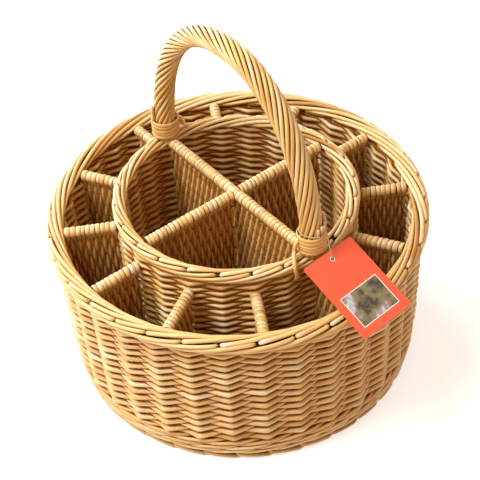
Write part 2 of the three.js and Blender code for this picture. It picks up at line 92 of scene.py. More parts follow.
def unit(vectors: Array) -> Array:
    """Scale vectors to length one along their last axis."""
    return vectors / np.linalg.norm(vectors, axis=-1, keepdims=True)


def full_turn(steps: int) -> Array:
    """Angles at even steps of a full turn, from 0."""
    return TAU * np.arange(steps) / steps


def points_at(x: Array | float, y: Array | float, z: Array | float) -> Array:
    """Points from coordinates, each spread over the axes of the others."""
    return np.stack(np.broadcast_arrays(x, y, z), axis=-1)


def polar(radius: Array | float, angle: Array, height: Array | float) -> Array:
    """Points from a radius, an angle about Z and a height.

    Args:
        radius: Distances from the basket's axis.
        angle: Angles from +X in radians.
        height: Heights above the floor.

    Returns:
        Points with a last axis of three.
    """
    return points_at(radius * np.cos(angle), radius * np.sin(angle), height)


def turned(paths: Array, angle: float) -> Array:
    """Points or directions turned about Z by an angle."""
    return paths @ np.array(Matrix.Rotation(angle, 3, "Z")).T


def at_places(places: Array, known: Array, line: Array) -> Array:
    """Points of a line at some places.

    Args:
        places: Places to find.
        known: Places of the line's own points, rising.
        line: Points of the line.

    Returns:
        One point for each place.
    """
    return np.stack([np.interp(places, known, column) for column in line.T], axis=-1)


def line_length(line: Array) -> float:
    """Length of a line through its points."""
    return float(np.sum(np.linalg.norm(np.diff(line, axis=0), axis=1)))


def smooth_line(points: Array, fill: int) -> Array:
    """Catmull-Rom line through points.

    Args:
        points: Points to pass through.
        fill: Steps between one point and the next.

    Returns:
        Points of the smooth line.
    """
    padded = np.concatenate([[2 * points[0] - points[1]], points, [2 * points[-1] - points[-2]]])
    t = (np.arange(fill) / fill)[:, None]
    pieces = []
    for a, b, c, d in zip(padded, padded[1:], padded[2:], padded[3:]):
        pieces.append(0.5 * (2 * b + (c - a) * t + (2 * a - 5 * b + 4 * c - d) * t ** 2
                             + (3 * b - a - 3 * c + d) * t ** 3))
    return np.concatenate(pieces + [points[-1:]])


@dataclass
class RodBundle:
    """Round rods swept along their paths, in millimetres, and gathered into one mesh.

    Attributes:
        rng: Source of the rods' differences.
        sides: Number of sides of a rod's section.
        cap_length: Length of a rod's rounded end for each millimetre of its radius.
        cap_width: Radius of a rod's cut end for each millimetre of its radius.
    """

    rng: np.random.Generator
    sides: int = 6
    cap_length: float = 0.4
    cap_width: float = 0.6
    points: list[Array] = field(default_factory=list)
    corners: list[Array] = field(default_factory=list)
    totals: list[Array] = field(default_factory=list)
    uvs: list[Array] = field(default_factory=list)
    tones: list[Array] = field(default_factory=list)
    pales: list[Array] = field(default_factory=list)
    count: int = 0

    def mixed_tones(self, middle: float, spread: float, rods: int) -> Array:
        """Tones drawn about a middle one, one for each rod, with a second axis of one."""
        return np.clip(self.rng.normal(middle, spread, (rods, 1)), LEAST_TONE, MOST_TONE)

    def add(self, paths: Array, radii: Array | float, tones: Array | float, refs: Array,
            pales: Array | float = 0.0, closed: bool = False, flat: float = 1.0) -> None:
        """Sweep rods that have the same number of points.

        Args:
            paths: Centre lines, rods by points by three.
            radii: Rod radii, spread over rods and points.
            tones: Place of each rod between dark and pale willow, from 0 to 1.
            refs: Directions that each section's first corner points to.
            pales: Extra paling along the rods, from 0 to 1: pale wood, and on the border's elbows partly
                painted highlight.
            closed: Whether each rod runs back into its start.
            flat: Thickness of a rod's section for each unit of its width.
        """
        rods, steps, _ = paths.shape
        radii = np.broadcast_to(radii, (rods, steps))
        tones = np.broadcast_to(tones, (rods, steps))
        pales = np.broadcast_to(pales, (rods, steps))
        refs = np.broadcast_to(refs, (rods, steps, 3))
        if not closed:
            back = unit(paths[:, 1:2] - paths[:, :1]) * radii[:, :1, None] * self.cap_length
            onward = unit(paths[:, -1:] - paths[:, -2:-1]) * radii[:, -1:, None] * self.cap_length
            paths = np.concatenate([paths[:, :1] - back, paths, paths[:, -1:] + onward], axis=1)
            cut_start, cut_end = radii[:, :1] * self.cap_width, radii[:, -1:] * self.cap_width
            radii = np.concatenate([cut_start, radii, cut_end], axis=1)
            tones, pales, refs = (np.concatenate([a[:, :1], a, a[:, -1:]], axis=1)
                                  for a in (tones, pales, refs))
        ahead = np.roll(paths, -1, axis=1)
        behind = np.roll(paths, 1, axis=1)
        if not closed:
            ahead[:, -1] = paths[:, -1]
            behind[:, 0] = paths[:, 0]
        along = unit(ahead - behind)
        normal = unit(refs - along * np.sum(refs * along, axis=-1, keepdims=True))
        across = np.cross(along, normal)
        turn = full_turn(self.sides)
        ring = (normal[:, :, None] * np.cos(turn)[:, None]
                + across[:, :, None] * flat * np.sin(turn)[:, None])
        points = paths[:, :, None] + radii[:, :, None, None] * ring
        self._join(points, paths, closed)
        self.tones.append(np.repeat(tones.ravel(), self.sides))
        self.pales.append(np.repeat(pales.ravel(), self.sides))

    def _join(self, points: Array, paths: Array, closed: bool) -> None:
        """Add the faces between a bundle's sections, with a map along and round each rod.

        Args:
            points: Corners, rods by steps by sides by three.
            paths: Centre lines, rods by steps by three.
            closed: Whether each rod runs back into its start.
        """
        rods, steps, sides, _ = points.shape
        gap = np.linalg.norm(np.roll(paths, -1, axis=1) - paths, axis=-1)
        length = np.concatenate([np.zeros((rods, 1)), np.cumsum(gap, axis=1)], axis=1)
        rows = steps if closed else steps - 1
        i, j = np.meshgrid(np.arange(rows), np.arange(sides), indexing="ij")
        i2, j2 = (i + 1) % steps, (j + 1) % sides
        quad = np.stack([i * sides + j, i * sides + j2, i2 * sides + j2, i2 * sides + j], axis=-1)
        start = self.count + np.arange(rods) * steps * sides
        self.corners.append((quad.reshape(-1)[None] + start[:, None]).ravel())
        self.totals.append(np.full(rods * rows * sides, 4))
        u = np.stack([length[:, i], length[:, i], length[:, i + 1], length[:, i + 1]], axis=-1) * MM
        v = np.stack([j, j + 1, j + 1, j], axis=-1) / sides
        self.uvs.append(np.stack([u, np.broadcast_to(v, u.shape)], axis=-1).reshape(-1, 2))
        if not closed:
            order = np.arange(sides)
            caps = np.stack([order[::-1], (steps - 1) * sides + order])
            self.corners.append((caps.reshape(-1)[None] + start[:, None]).ravel())
            self.totals.append(np.full(rods * 2, sides))
            self.uvs.append(np.zeros((rods * 2 * sides, 2)))
        self.points.append(points.reshape(-1, 3))
        self.count += rods * steps * sides

    def build(self, name: str, material: bpy.types.Material) -> bpy.types.Object:
        """Make the gathered rods into one object.

        Args:
            name: Name of the piece.
            material: Finish of its rods.

        Returns:
            The new object, at the origin.
        """
        mesh = bpy.data.meshes.new(name)
        points = np.concatenate(self.points) * MM
        corners = np.concatenate(self.corners).astype(np.int32)
        totals = np.concatenate(self.totals)
        mesh.vertices.add(len(points))
        mesh.vertices.foreach_set("co", points.astype(np.float32).ravel())
        mesh.loops.add(len(corners))
        mesh.polygons.add(len(totals))
        mesh.polygons.foreach_set("loop_start", (np.cumsum(totals) - totals).astype(np.int32))
        mesh.polygons.foreach_set("vertices", corners)
        mesh.update(calc_edges=True)
        layer = mesh.uv_layers.new(name="rod_map")
        layer.data.foreach_set("uv", np.concatenate(self.uvs).astype(np.float32).ravel())
        for label, values in (("tone", self.tones), ("pale", self.pales)):
            attribute = mesh.attributes.new(label, "FLOAT", "POINT")
            attribute.data.foreach_set("value", np.concatenate(values).astype(np.float32))
        mesh.materials.append(material)
        piece = bpy.data.objects.new(name, mesh)
        bpy.context.collection.objects.link(piece)
        select_only(piece)
        bpy.ops.object.shade_smooth_by_angle(angle=SMOOTH_ANGLE)
        return piece


def select_only(piece: bpy.types.Object) -> None:
    """Make one object the only selected one and the active one.

    Args:
        piece: Object to select.
    """
    bpy.ops.object.select_all(action="DESELECT")
    piece.select_set(True)
    bpy.context.view_layer.objects.active = piece


def settle(piece: bpy.types.Object, body: Body, slot: Slot, *nodes: str) -> None:
    """Put a finished piece on its body and hide the CAD nodes that it stands for.

    Args:
        piece: Finished piece.
        body: Body it rides on.
        slot: Material slot of its finish; not used.
        nodes: CAD nodes that it replaces.
    """
    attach(piece, body.value)
    if nodes:
        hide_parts(*nodes)
    LOG.info("%s rides on %s", piece.name, body.value)


def settle_rods(bundle: RodBundle, name: str, slot: Slot, *nodes: str) -> None:
    """Make a bundle into a piece in its slot's willow and put it on the basket.

    Args:
        bundle: Bundle of rods.
        name: Name of the piece.
        slot: Material slot of its willow.
        nodes: CAD nodes that it replaces.
    """
    settle(bundle.build(name, WILLOW[slot]), Body.BASKET, slot, *nodes)


class NodeSketch:
    """Adds and links the shader nodes of one tree."""

    def __init__(self, tree: bpy.types.NodeTree) -> None:
        """Start on a node tree."""
        self.tree = tree

    def add(self, kind: str, **settings: object) -> bpy.types.Node:
        """Add a node.

        Args:
            kind: Node type without its ShaderNode prefix.
            settings: Attributes to set on the node.

        Returns:
            The new node.
        """
        node = self.tree.nodes.new("ShaderNode" + kind)
        for key, value in settings.items():
            setattr(node, key, value)
        return node

    def join(self, source: bpy.types.NodeSocket, target: bpy.types.NodeSocket) -> None:
        """Link an output to an input."""
        self.tree.links.new(source, target)

    def ramp(self, factor: bpy.types.NodeSocket, stops: dict[float, Colour]) -> bpy.types.NodeSocket:
        """Colour from a number through a colour ramp.

        Args:
            factor: Number to read.
            stops: Colour at each place.

        Returns:
            The ramp's colour output.
        """
        node = self.add("ValToRGB")
        elements = node.color_ramp.elements
        while len(elements) < len(stops):
            elements.new(0.5)
        for element, (place, colour) in zip(elements, sorted(stops.items())):
            element.position = place
            element.color = colour
        self.join(factor, node.inputs["Fac"])
        return node.outputs["Color"]

    def blend(self, mode: str, factor: bpy.types.NodeSocket | float, first: bpy.types.NodeSocket | Colour,
              second: bpy.types.NodeSocket | Colour) -> bpy.types.NodeSocket:
        """Mix two colours.

        Args:
            mode: Blend mode of the mix node.
            factor: Share of the second colour.
            first: Colour underneath.
            second: Colour on top.

        Returns:
            The mixed colour.
        """
        node = self.add("Mix", data_type="RGBA", blend_type=mode, clamp_result=True)
        for source, place in ((factor, MIX_FACTOR), (first, MIX_FIRST), (second, MIX_SECOND)):
            if isinstance(source, bpy.types.NodeSocket):
                self.join(source, node.inputs[place])
            else:
                node.inputs[place].default_value = source
        return node.outputs[MIX_RESULT]

    def noise(self, scale: Triple, detail: float = 3.0, uv: bool = True) -> bpy.types.NodeSocket:
        """Noise stretched along a rod's own map or over the object's coordinates.

        Args:
            scale: Repeats along each coordinate.
            detail: Noise detail.
            uv: Whether the rod map is read in place of object coordinates.

        Returns:
            The noise's number.
        """
        mapping = self.add("Mapping")
        mapping.inputs["Scale"].default_value = scale
        if uv:
            self.join(self.add("UVMap", uv_map="rod_map").outputs["UV"], mapping.inputs["Vector"])
        else:
            self.join(self.add("TexCoord").outputs["Object"], mapping.inputs["Vector"])
        node = self.add("TexNoise")
        node.inputs["Scale"].default_value = 1.0
        node.inputs["Detail"].default_value = detail
        self.join(mapping.outputs["Vector"], node.inputs["Vector"])
        return node.outputs["Fac"]

    def number(self, source: bpy.types.NodeSocket, taken: Span, given: Span) -> bpy.types.NodeSocket:
        """Number moved from one range to another, and kept inside it.

        Args:
            source: Number to read.
            taken: Range that it is read in.
            given: Range that it is moved to.

        Returns:
            The moved number.
        """
        node = self.add("MapRange")
        for key, value in zip(("From Min", "From Max", "To Min", "To Max"), taken + given):
            node.inputs[key].default_value = value
        self.join(source, node.inputs["Value"])
        return node.outputs["Result"]

    def seen_rays(self) -> bpy.types.NodeSocket:
        """Find which rays show a surface to the camera, straight or in a gloss or through a clear surface.

        Returns:
            Number that is 1 for those rays and 0 for the rest.
        """
        rays = self.add("LightPath")
        seen = rays.outputs["Is Camera Ray"]
        for name in ("Is Glossy Ray", "Is Transmission Ray"):
            either = self.add("Math", operation="MAXIMUM")
            self.join(seen, either.inputs[0])
            self.join(rays.outputs[name], either.inputs[1])
            seen = either.outputs[0]
        return seen


class ShaderSketch(NodeSketch):
    """Adds and links the shader nodes of one new material."""

    def __init__(self, name: str) -> None:
        """Start a material with a principled shader.

        Args:
            name: Name of the material.
        """
        self.material = bpy.data.materials.new(name)
        self.material.use_nodes = True
        super().__init__(self.material.node_tree)
        self.shader = self.tree.nodes["Principled BSDF"]

    def attribute(self, name: str) -> bpy.types.NodeSocket:
        """Output of a mesh attribute's number."""
        return self.add("Attribute", attribute_name=name).outputs["Fac"]

    def drive(self, socket: str, source: bpy.types.NodeSocket) -> None:
        """Link an output to one of the shader's inputs."""
        self.join(source, self.shader.inputs[socket])

    def fix(self, socket: str, value: float | Colour) -> None:
        """Set one of the shader's inputs all over."""
        self.shader.inputs[socket].default_value = value

    def bump(self, height: bpy.types.NodeSocket, distance: float, strength: float) -> None:
        """Drive the shader's normal from a height.

        Args:
            height: Height to read, from 0 to 1.
            distance: Depth of the relief in metres.
            strength: Share of the relief that shows.
        """
        node = self.add("Bump")
        node.inputs["Distance"].default_value = distance
        node.inputs["Strength"].default_value = strength
        self.join(height, node.inputs["Height"])
        self.drive("Normal", node.outputs["Normal"])


@dataclass(frozen=True)
class WillowFinish:
    """Peeled willow: rods of mixed tone with grain streaks, small knots and a low gloss.

    Attributes:
        streak_scale: Streaks to a metre along a rod and to a turn round it, as in each scale.
        glossy_tone: Tone from which a rod has its full gloss.
    """

    name: str
    deep: Colour
    honey: Colour
    cream: Colour
    # Pale colour mixed in by the pale attribute: pale wood on cut ends and wraps, and partly painted
    # highlight on the border's elbows.
    pale_wood_and_highlight: Colour = (0.95, 0.86, 0.70, 1.0)
    # Near-black colour at the lowest tone: painted shade for the cores and the rods in the gaps.
    core: Colour = (0.045, 0.016, 0.005, 1.0)
    deep_tone: float = 0.8 * LEAST_TONE
    streak: Colour = (0.66, 0.55, 0.42, 1.0)
    streak_scale: Triple = (26.0, 2.2, 1.0)
    streak_detail: float = 4.0
    streak_range: Span = (0.28, 0.55)
    streak_share: float = 0.7
    blotch_scale: Triple = (7.0, 1.0, 1.0)
    blotch_detail: float = 2.0
    blotch_range: Span = (0.52, 0.72)
    blotch_share: float = 0.55
    knot: Colour = (0.16, 0.07, 0.025, 1.0)
    knot_scale: Triple = (48.0, 3.0, 1.0)
    knot_detail: float = 1.0
    knot_range: Span = (0.74, 0.80)
    knot_share: float = 0.7
    roughness_range: Span = (0.3, 0.7)
    roughness: Span = (0.54, 0.42)
    glossy_tone: float = 0.35
    specular: Span = (0.1, 0.5)
    coat_tone: float = 0.05
    coat: float = 0.55
    coat_roughness: float = 0.38
    tooth_scale: Triple = (90.0, 9.0, 1.0)
    tooth_depth: float = 0.0004
    tooth_strength: float = 0.5

    def material(self) -> bpy.types.Material:
        """Build the material.

        Returns:
            The new material.
        """
        sketch = ShaderSketch(self.name)
        tone = sketch.attribute("tone")
        # Tone 0 is painted shade; the other stops run from deep to cream willow.
        colour = sketch.ramp(tone, {
            CORE_SHADE_TONE: self.core, self.deep_tone: self.deep, MIDDLE_TONE: self.honey, 1.0: self.cream})
        streak = sketch.noise(self.streak_scale, self.streak_detail)
        shade = sketch.ramp(streak, {self.streak_range[0]: self.streak, self.streak_range[1]: WHITE})
        colour = sketch.blend("MULTIPLY", self.streak_share, colour, shade)
        blotch = sketch.noise(self.blotch_scale, self.blotch_detail)
        blotch = sketch.number(blotch, self.blotch_range, (0.0, self.blotch_share))
        colour = sketch.blend("MIX", blotch, colour, self.honey)
        knot = sketch.noise(self.knot_scale, self.knot_detail)
        knot = sketch.number(knot, self.knot_range, (0.0, self.knot_share))
        colour = sketch.blend("MIX", knot, colour, self.knot)
        colour = sketch.blend("MIX", sketch.attribute("pale"), colour, self.pale_wood_and_highlight)
        sketch.drive("Base Color", colour)
        sketch.drive("Roughness", sketch.number(streak, self.roughness_range, self.roughness))
        gloss = sketch.number(tone, (CORE_SHADE_TONE, self.glossy_tone), self.specular)
        sketch.drive("Specular IOR Level", gloss)
        coat = sketch.number(tone, (self.coat_tone, self.glossy_tone), (0.0, self.coat))
        sketch.drive("Coat Weight", coat)
        sketch.fix("Coat Roughness", self.coat_roughness)
        sketch.bump(sketch.noise(self.tooth_scale), self.tooth_depth, self.tooth_strength)
        return sketch.material


@dataclass(frozen=True)
class CardFinish:
    """Coated card in one ink with a faint paper tooth."""

    name: str
    ink: Colour
    roughness: float = 0.42
    shade: float = 0.93
    tooth_scale: Triple = (900.0, 900.0, 900.0)
    tooth_detail: float = 2.0
    tooth_range: Span = (0.35, 0.65)
    tooth_depth: float = 0.00005
    tooth_strength: float = 0.3

    def material(self) -> bpy.types.Material:
        """Build the material.

        Returns:
            The new material.
        """
        sketch = ShaderSketch(self.name)
        tooth = sketch.noise(self.tooth_scale, self.tooth_detail, uv=False)
        darker = tuple(self.shade * part for part in self.ink[:3]) + (1.0,)
        low, high = self.tooth_range
        sketch.drive("Base Color", sketch.ramp(tooth, {low: darker, high: self.ink}))
        sketch.fix("Roughness", self.roughness)
        sketch.bump(tooth, self.tooth_depth, self.tooth_strength)
        return sketch.material


@dataclass(frozen=True)
class PrintFinish:
    """Card printed with soft mottled patches of muted inks, with no picture in them."""

    name: str
    dark: Colour = (0.06, 0.035, 0.025, 1.0)
    olive: Colour = (0.20, 0.17, 0.07, 1.0)
    mauve: Colour = (0.36, 0.20, 0.20, 1.0)
    pale: Colour = (0.55, 0.54, 0.58, 1.0)
    patch_scale: Triple = (46.0, 46.0, 46.0)
    patch_places: tuple[float, ...] = (0.36, 0.46, 0.55, 0.66)
    fleck_scale: Triple = (190.0, 190.0, 190.0)
    fleck_detail: float = 2.0
    fleck_range: Span = (0.5, 0.68)
    fleck_share: float = 0.7
    roughness: float = 0.4

    def material(self) -> bpy.types.Material:
        """Build the material.

        Returns:
            The new material.
        """
        sketch = ShaderSketch(self.name)
        inks = (self.dark, self.olive, self.mauve, self.pale)
        colour = sketch.ramp(sketch.noise(self.patch_scale, uv=False), dict(zip(self.patch_places, inks)))
        fleck = sketch.noise(self.fleck_scale, self.fleck_detail, uv=False)
        fleck = sketch.number(fleck, self.fleck_range, (0.0, self.fleck_share))
        sketch.drive("Base Color", sketch.blend("MIX", fleck, colour, self.olive))
        sketch.fix("Roughness", self.roughness)
        return sketch.material


@dataclass(frozen=True)
class StringFinish:
    """Twisted cotton string."""

    name: str
    light: Colour = (0.64, 0.46, 0.24, 1.0)
    dark: Colour = (0.40, 0.25, 0.11, 1.0)
    fibre_scale: Triple = (1800.0, 1800.0, 1800.0)
    fibre_detail: float = 2.0
    fibre_range: Span = (0.35, 0.6)
    fibre_depth: float = 0.0002
    fibre_strength: float = 0.6
    roughness: float = 0.9

    def material(self) -> bpy.types.Material:
        """Build the material.

        Returns:
            The new material.
        """
        sketch = ShaderSketch(self.name)
        fibre = sketch.noise(self.fibre_scale, self.fibre_detail, uv=False)
        low, high = self.fibre_range
        sketch.drive("Base Color", sketch.ramp(fibre, {low: self.dark, high: self.light}))
        sketch.fix("Roughness", self.roughness)
        sketch.bump(fibre, self.fibre_depth, self.fibre_strength)
        return sketch.material


HONEY_WILLOW = WillowFinish(
    "honey_willow", (0.40, 0.13, 0.018, 1.0), (0.74, 0.41, 0.11, 1.0), (0.92, 0.72, 0.43, 1.0))
PALE_WILLOW = WillowFinish(
    "pale_willow", (0.50, 0.20, 0.035, 1.0), (0.79, 0.47, 0.15, 1.0), (0.93, 0.76, 0.48, 1.0))
SHADED_WILLOW = WillowFinish(
    "shaded_willow", (0.44, 0.17, 0.03, 1.0), (0.70, 0.37, 0.10, 1.0), (0.88, 0.60, 0.27, 1.0))
CORAL_CARD = CardFinish("coral_card", (0.90, 0.112, 0.045, 1.0))
WHITE_CARD = CardFinish("white_card", (0.86, 0.85, 0.82, 1.0))
MOTTLED_PRINT = PrintFinish("mottled_print")
COTTON_STRING = StringFinish("cotton_string")


@dataclass
class RingWeave:
    """French-randed wall: one weaver to a stake, all climbing side by side from the foot to the top.

    Attributes:
        stakes: Number of stakes, and of weavers.
        swing: How far a weaver swings to each side of the stakes' circle.
        butt: Weaver's radius at its thick end, at the foot.
        tip: Weaver's radius at its thin end, at the top.
        lean: Angle by which the stakes lean from the foot to the top.
        pack: Height of a row for each millimetre of its weaver's thickness.
        bend: Sharpness of a weaver's bend round a stake, from 0 to 1.
        steps: Points of a weaver from one stake to the next.
        waist: Share of a weaver's thickness that is left where it passes through the wall.
        pressed: How much wider a weaver is pressed over a stake than at its waist.
        recess_shade: How much paler a weaver is over a stake than where it passes through the wall, painted
            shade in the wall's recesses.
        uneven: Least and most of a weaver's thickness, for each millimetre of the usual one.
        uneven_swing: Least and most of a weaver's swing, in the same way.
        drift: How far a weaver strays up and down from its row.
        drift_rate: Turn of that stray from one stake to the next.
        shade_filler: Radius of the dark rods that lie in the wall between the rows, painted shade that
            fills the gaps.
        filler_steps: Points of a dark shade rod from one stake to the next.
    """

    stakes: int
    swing: float
    butt: float
    tip: float
    lean: float = 0.0
    pack: float = 0.96
    bend: float = 0.994
    steps: int = 10
    tone: float = 0.55
    tone_spread: float = 0.1
    waist: float = 0.92
    pressed: float = 0.24
    recess_shade: float = 0.14
    uneven: Span = (0.94, 1.06)
    uneven_swing: Span = (0.93, 1.07)
    drift: float = 0.35
    drift_rate: float = 0.9
    shade_filler: float = 2.8
    filler_steps: int = 3
    upright_points: int = 12
    upright_tone: float = 0.35

    def weave(self, bundle: RodBundle, low: float, high: float, middle: Profile) -> None:
        """Add the weavers to a bundle.

        Args:
            bundle: Bundle that takes the rods.
            low: Height of the first row.
            high: Height of the last row.
            middle: Radius of the stakes' circle at a height.
        """
        spans = (high - low) / (self.pack * (self.butt + self.tip))
        start = np.arange(self.stakes)[:, None]
        along = np.arange(0, spans, 1 / self.steps)[None, :]
        height = self._climb(along, spans, low)
        thick = self.butt + (self.tip - self.butt) * along / spans
        thick = thick * bundle.rng.uniform(*self.uneven, (self.stakes, 1))
        sway = self.swing * bundle.rng.uniform(*self.uneven_swing, (self.stakes, 1))
        wave = -np.arcsin(self.bend * np.cos(math.pi * along)) / math.asin(self.bend)
        over_stake = np.abs(wave)
        thick = thick * (self.waist + self.pressed * over_stake ** 3)
        drift = self.drift * np.sin(self.drift_rate * along + bundle.rng.uniform(0, TAU, (self.stakes, 1)))
        angle = self._angle(start + along, height, high)
        tone = bundle.mixed_tones(self.tone, self.tone_spread, self.stakes)
        # Darker where the weaver passes back through the wall: painted shade in the recesses.
        tone = np.clip(tone + self.recess_shade * (over_stake - 0.5), LEAST_TONE, MOST_TONE)
        tucked = np.clip(np.minimum(along, spans - along), 0, 1)
        bundle.add(polar(middle(height) + sway * wave * tucked, angle, height + drift), thick, tone, UP)
        # Dark rods between the rows: painted shade that fills the gaps in the wall.
        along = np.arange(0, spans - 0.5, 1 / self.filler_steps)[None, :]
        height = self._climb(along + 0.5, spans, low)
        angle = self._angle(start + along, height, high)
        bundle.add(polar(middle(height), angle, height), self.shade_filler, GAP_SHADE_TONE, UP)

    def uprights(self, bundle: RodBundle, low: float, high: float, middle: Profile, radius: float) -> None:
        """Add the upright stakes that the weavers pass round.

        Args:
            bundle: Bundle that takes the rods.
            low: Height of the stakes' lower ends.
            high: Height of their upper ends.
            middle: Radius of the stakes' circle at a height.
            radius: Radius of a stake.
        """
        height = np.linspace(low, high, self.upright_points)[None, :]
        angle = self._angle(np.arange(self.stakes)[:, None], height, high)
        bundle.add(polar(middle(height), angle, height), radius, self.upright_tone, polar(1.0, angle, 0.0))

    def _climb(self, along: Array, spans: float, low: float) -> Array:
        """Height of a weaver after some stake spacings."""
        return low + self.pack * (2 * self.butt * along + (self.tip - self.butt) * along ** 2 / spans)

    def _angle(self, place: Array, height: Array, high: float) -> Array:
        """Angle of a place, counted in stake spacings, on stakes that lean towards the foot."""
        return TAU * place / self.stakes + self.lean * (1 - height / high)


@dataclass
class RolledBorder:
    """Rod border: each stake's rod elbows out near the top and rolls over it to the inside.

    Under the elbows the rods of the next stakes run up to them from below and turn inwards.

    Attributes:
        rods: Rods side by side round the border's section.
        radius: Radius of the ring through the section's middle.
        centre: Height of the section's middle.
        depth: Section's radius out to the rods' backs.
        elbow: Place of the elbows on the section, in degrees from outside towards the top.
        upper: Radius of the rods above the elbows.
        lower: Radius of the rods below them.
        core: Radius of the dark core inside the rods, painted shade that shows between them.
        wander: Degrees by which a rod wanders from its line round the section.
        wander_rate: Turn of that wander from one stake to the next.
        start: Place on the section where the lower rods start, in degrees.
        finish: Place on the section where the upper rods end, in degrees.
        bend: Radius of an elbow.
        past_bend: Distance from an elbow's bend to the rod's next point.
        inside: Distance from the section's middle where an elbow's rod comes from.
        gap: Distance along the border from a lower rod's end to the next elbow.
        turn_in: Distance over which a lower rod turns inwards.
        turn_places: Places along a lower rod's turn, counted back from its end.
        turn_reaches: Share of its reach that is left at those places.
        start_tuck: Share of its reach that a lower rod has at its first points.
        finish_tuck: Share of its reach that an upper rod has at its last points.
        elbow_fade: Distance from an elbow over which its paling fades.
        elbow_pale_and_highlight: Most paling of an elbow, part exposed pale wood and part painted
            highlight.
        jitter: How far the elbows stray along the border.
        uneven: Least and most of a rod's radius, for each millimetre of the usual one.
        parting: How much wider the border is where something parts its rods.
        parted_angles: Angles where it is parted.
        parted_width: Distance along the border over which it closes again.
    """

    stakes: int
    rods: float
    radius: float
    centre: float
    depth: float
    elbow: float
    upper: float = 2.9
    lower: float = 2.65
    core: float = 5.4
    wander: float = 4.0
    wander_rate: float = 1.6
    start: float = -112.0
    finish: float = 208.0
    bend: float = 3.2
    past_bend: float = 1.0
    inside: float = 2.0
    gap: float = 6.5
    turn_in: float = 6.0
    turn_places: tuple[float, ...] = (-3.6, -1.8, -0.6, 0.0)
    turn_reaches: tuple[float, ...] = (0.97, 0.84, 0.6, 0.3)
    start_tuck: tuple[float, ...] = (0.5, 0.75, 0.93)
    finish_tuck: tuple[float, ...] = (0.95, 0.85, 0.7, 0.5)
    elbow_points: int = 6
    run_points: int = 34
    elbow_fade: float = 9.0
    elbow_pale_and_highlight: float = 0.55
    jitter: float = 1.0
    uneven: Span = (0.92, 1.06)
    tone: float = MIDDLE_TONE
    tone_spread: float = 0.13
    parting: float = 0.0
    parted_angles: tuple[float, ...] = ()
    parted_width: float = 22.0

    @property
    def spacing(self) -> float:
        """Length of the border from one stake to the next."""
        return TAU * self.radius / self.stakes

    @property
    def climb(self) -> float:
        """Degrees that a rod climbs round the section along one stake spacing."""
        return 360.0 / self.rods

    def weave(self, bundle: RodBundle) -> None:
        """Add the border's rods to a bundle.

        Args:
            bundle: Bundle that takes the rods.
        """
        self._upper_rods(bundle)
        self._lower_rods(bundle)
        # Near-black ring inside the rods: painted shade that shows between them.
        ring = polar(self.radius, full_turn(CORE_STEPS)[None, :], self.centre)
        bundle.add(ring, self.core, CORE_SHADE_TONE, UP, closed=True)

    def _upper_rods(self, bundle: RodBundle) -> None:
        """Add the rods that elbow out and roll over the top.

        Args:
            bundle: Bundle that takes the rods.
        """
        seat = self.depth - self.upper
        turn = np.radians(np.linspace(0, 90, self.elbow_points))
        bend_along = self.bend * (1 - np.cos(turn))
        bend_reach = seat - self.bend * (1 - np.sin(turn))
        finish = self.spacing * (self.finish - self.elbow) / self.climb
        run = np.linspace(self.bend + self.past_bend, finish, self.run_points)
        along = np.concatenate([[0.0], bend_along, run])
        reach = np.concatenate([[self.inside], bend_reach, np.full_like(run, seat)])
        reach[-len(self.finish_tuck):] *= np.array(self.finish_tuck)
        # Elbows paler near their bend: part exposed pale wood, part painted highlight.
        fade = np.exp(-(along / self.elbow_fade) ** 2)[None, :]
        pale = fade * bundle.rng.uniform(0.0, self.elbow_pale_and_highlight, (self.stakes, 1))
        self._lay(bundle, along, reach, self.upper, pale)

    def _lower_rods(self, bundle: RodBundle) -> None:
        """Add the rods that run up to the elbows from below and turn inwards.

        Args:
            bundle: Bundle that takes the rods.
        """
        seat = self.depth - self.lower
        start = self.spacing * (self.start - self.elbow) / self.climb
        run = np.linspace(start, -self.gap - self.turn_in, self.run_points)
        along = np.concatenate([run, -self.gap + np.array(self.turn_places)])
        reach = np.concatenate([np.full_like(run, seat), seat * np.array(self.turn_reaches)])
        reach[:len(self.start_tuck)] *= np.array(self.start_tuck)
        self._lay(bundle, along, reach, self.lower, np.zeros((self.stakes, 1)))

    def _lay(self, bundle: RodBundle, along: Array, reach: Array, radius: float, pale: Array) -> None:
        """Lay one rod for each stake.

        Args:
            bundle: Bundle that takes the rods.
            along: Distances along the border from the rod's elbow.
            reach: Distances from the section's middle at those places.
            radius: Rods' radius.
            pale: Bleaching of the rods.
        """
        place = along[None, :] + bundle.rng.normal(0, self.jitter, (self.stakes, 1))
        angle = full_turn(self.stakes)[:, None] + place / self.radius
        climb = np.radians(self.elbow + self.climb * along / self.spacing)[None, :]
        phase = bundle.rng.uniform(0, TAU, (self.stakes, 1))
        climb = climb + np.radians(self.wander * np.sin(self.wander_rate * along / self.spacing + phase))
        outward = polar(1.0, angle, 0.0)
        wide = 1.0 + self.parting * self._parted(angle)
        across = (reach * np.cos(climb) * wide)[..., None] * outward
        paths = polar(self.radius, angle, self.centre) + across + (reach * np.sin(climb))[..., None] * UP
        refs = UP * np.cos(climb)[..., None] - outward * np.sin(climb)[..., None]
        thick = radius * bundle.rng.uniform(*self.uneven, (self.stakes, 1))
        tone = bundle.mixed_tones(self.tone, self.tone_spread, self.stakes)
        bundle.add(paths, thick, tone, refs, pales=pale)

    def _parted(self, angle: Array) -> Array:
        """How far the rods are parted at an angle, from 0 to 1.

        Args:
            angle: Angles from +X in radians.

        Returns:
            Parting at each angle.
        """
        parted = np.zeros_like(angle)
        for middle in self.parted_angles:
            away = self.radius * np.abs((angle - middle + math.pi) % TAU - math.pi)
            parted = parted + np.exp(-(away / self.parted_width) ** 2)
        return parted


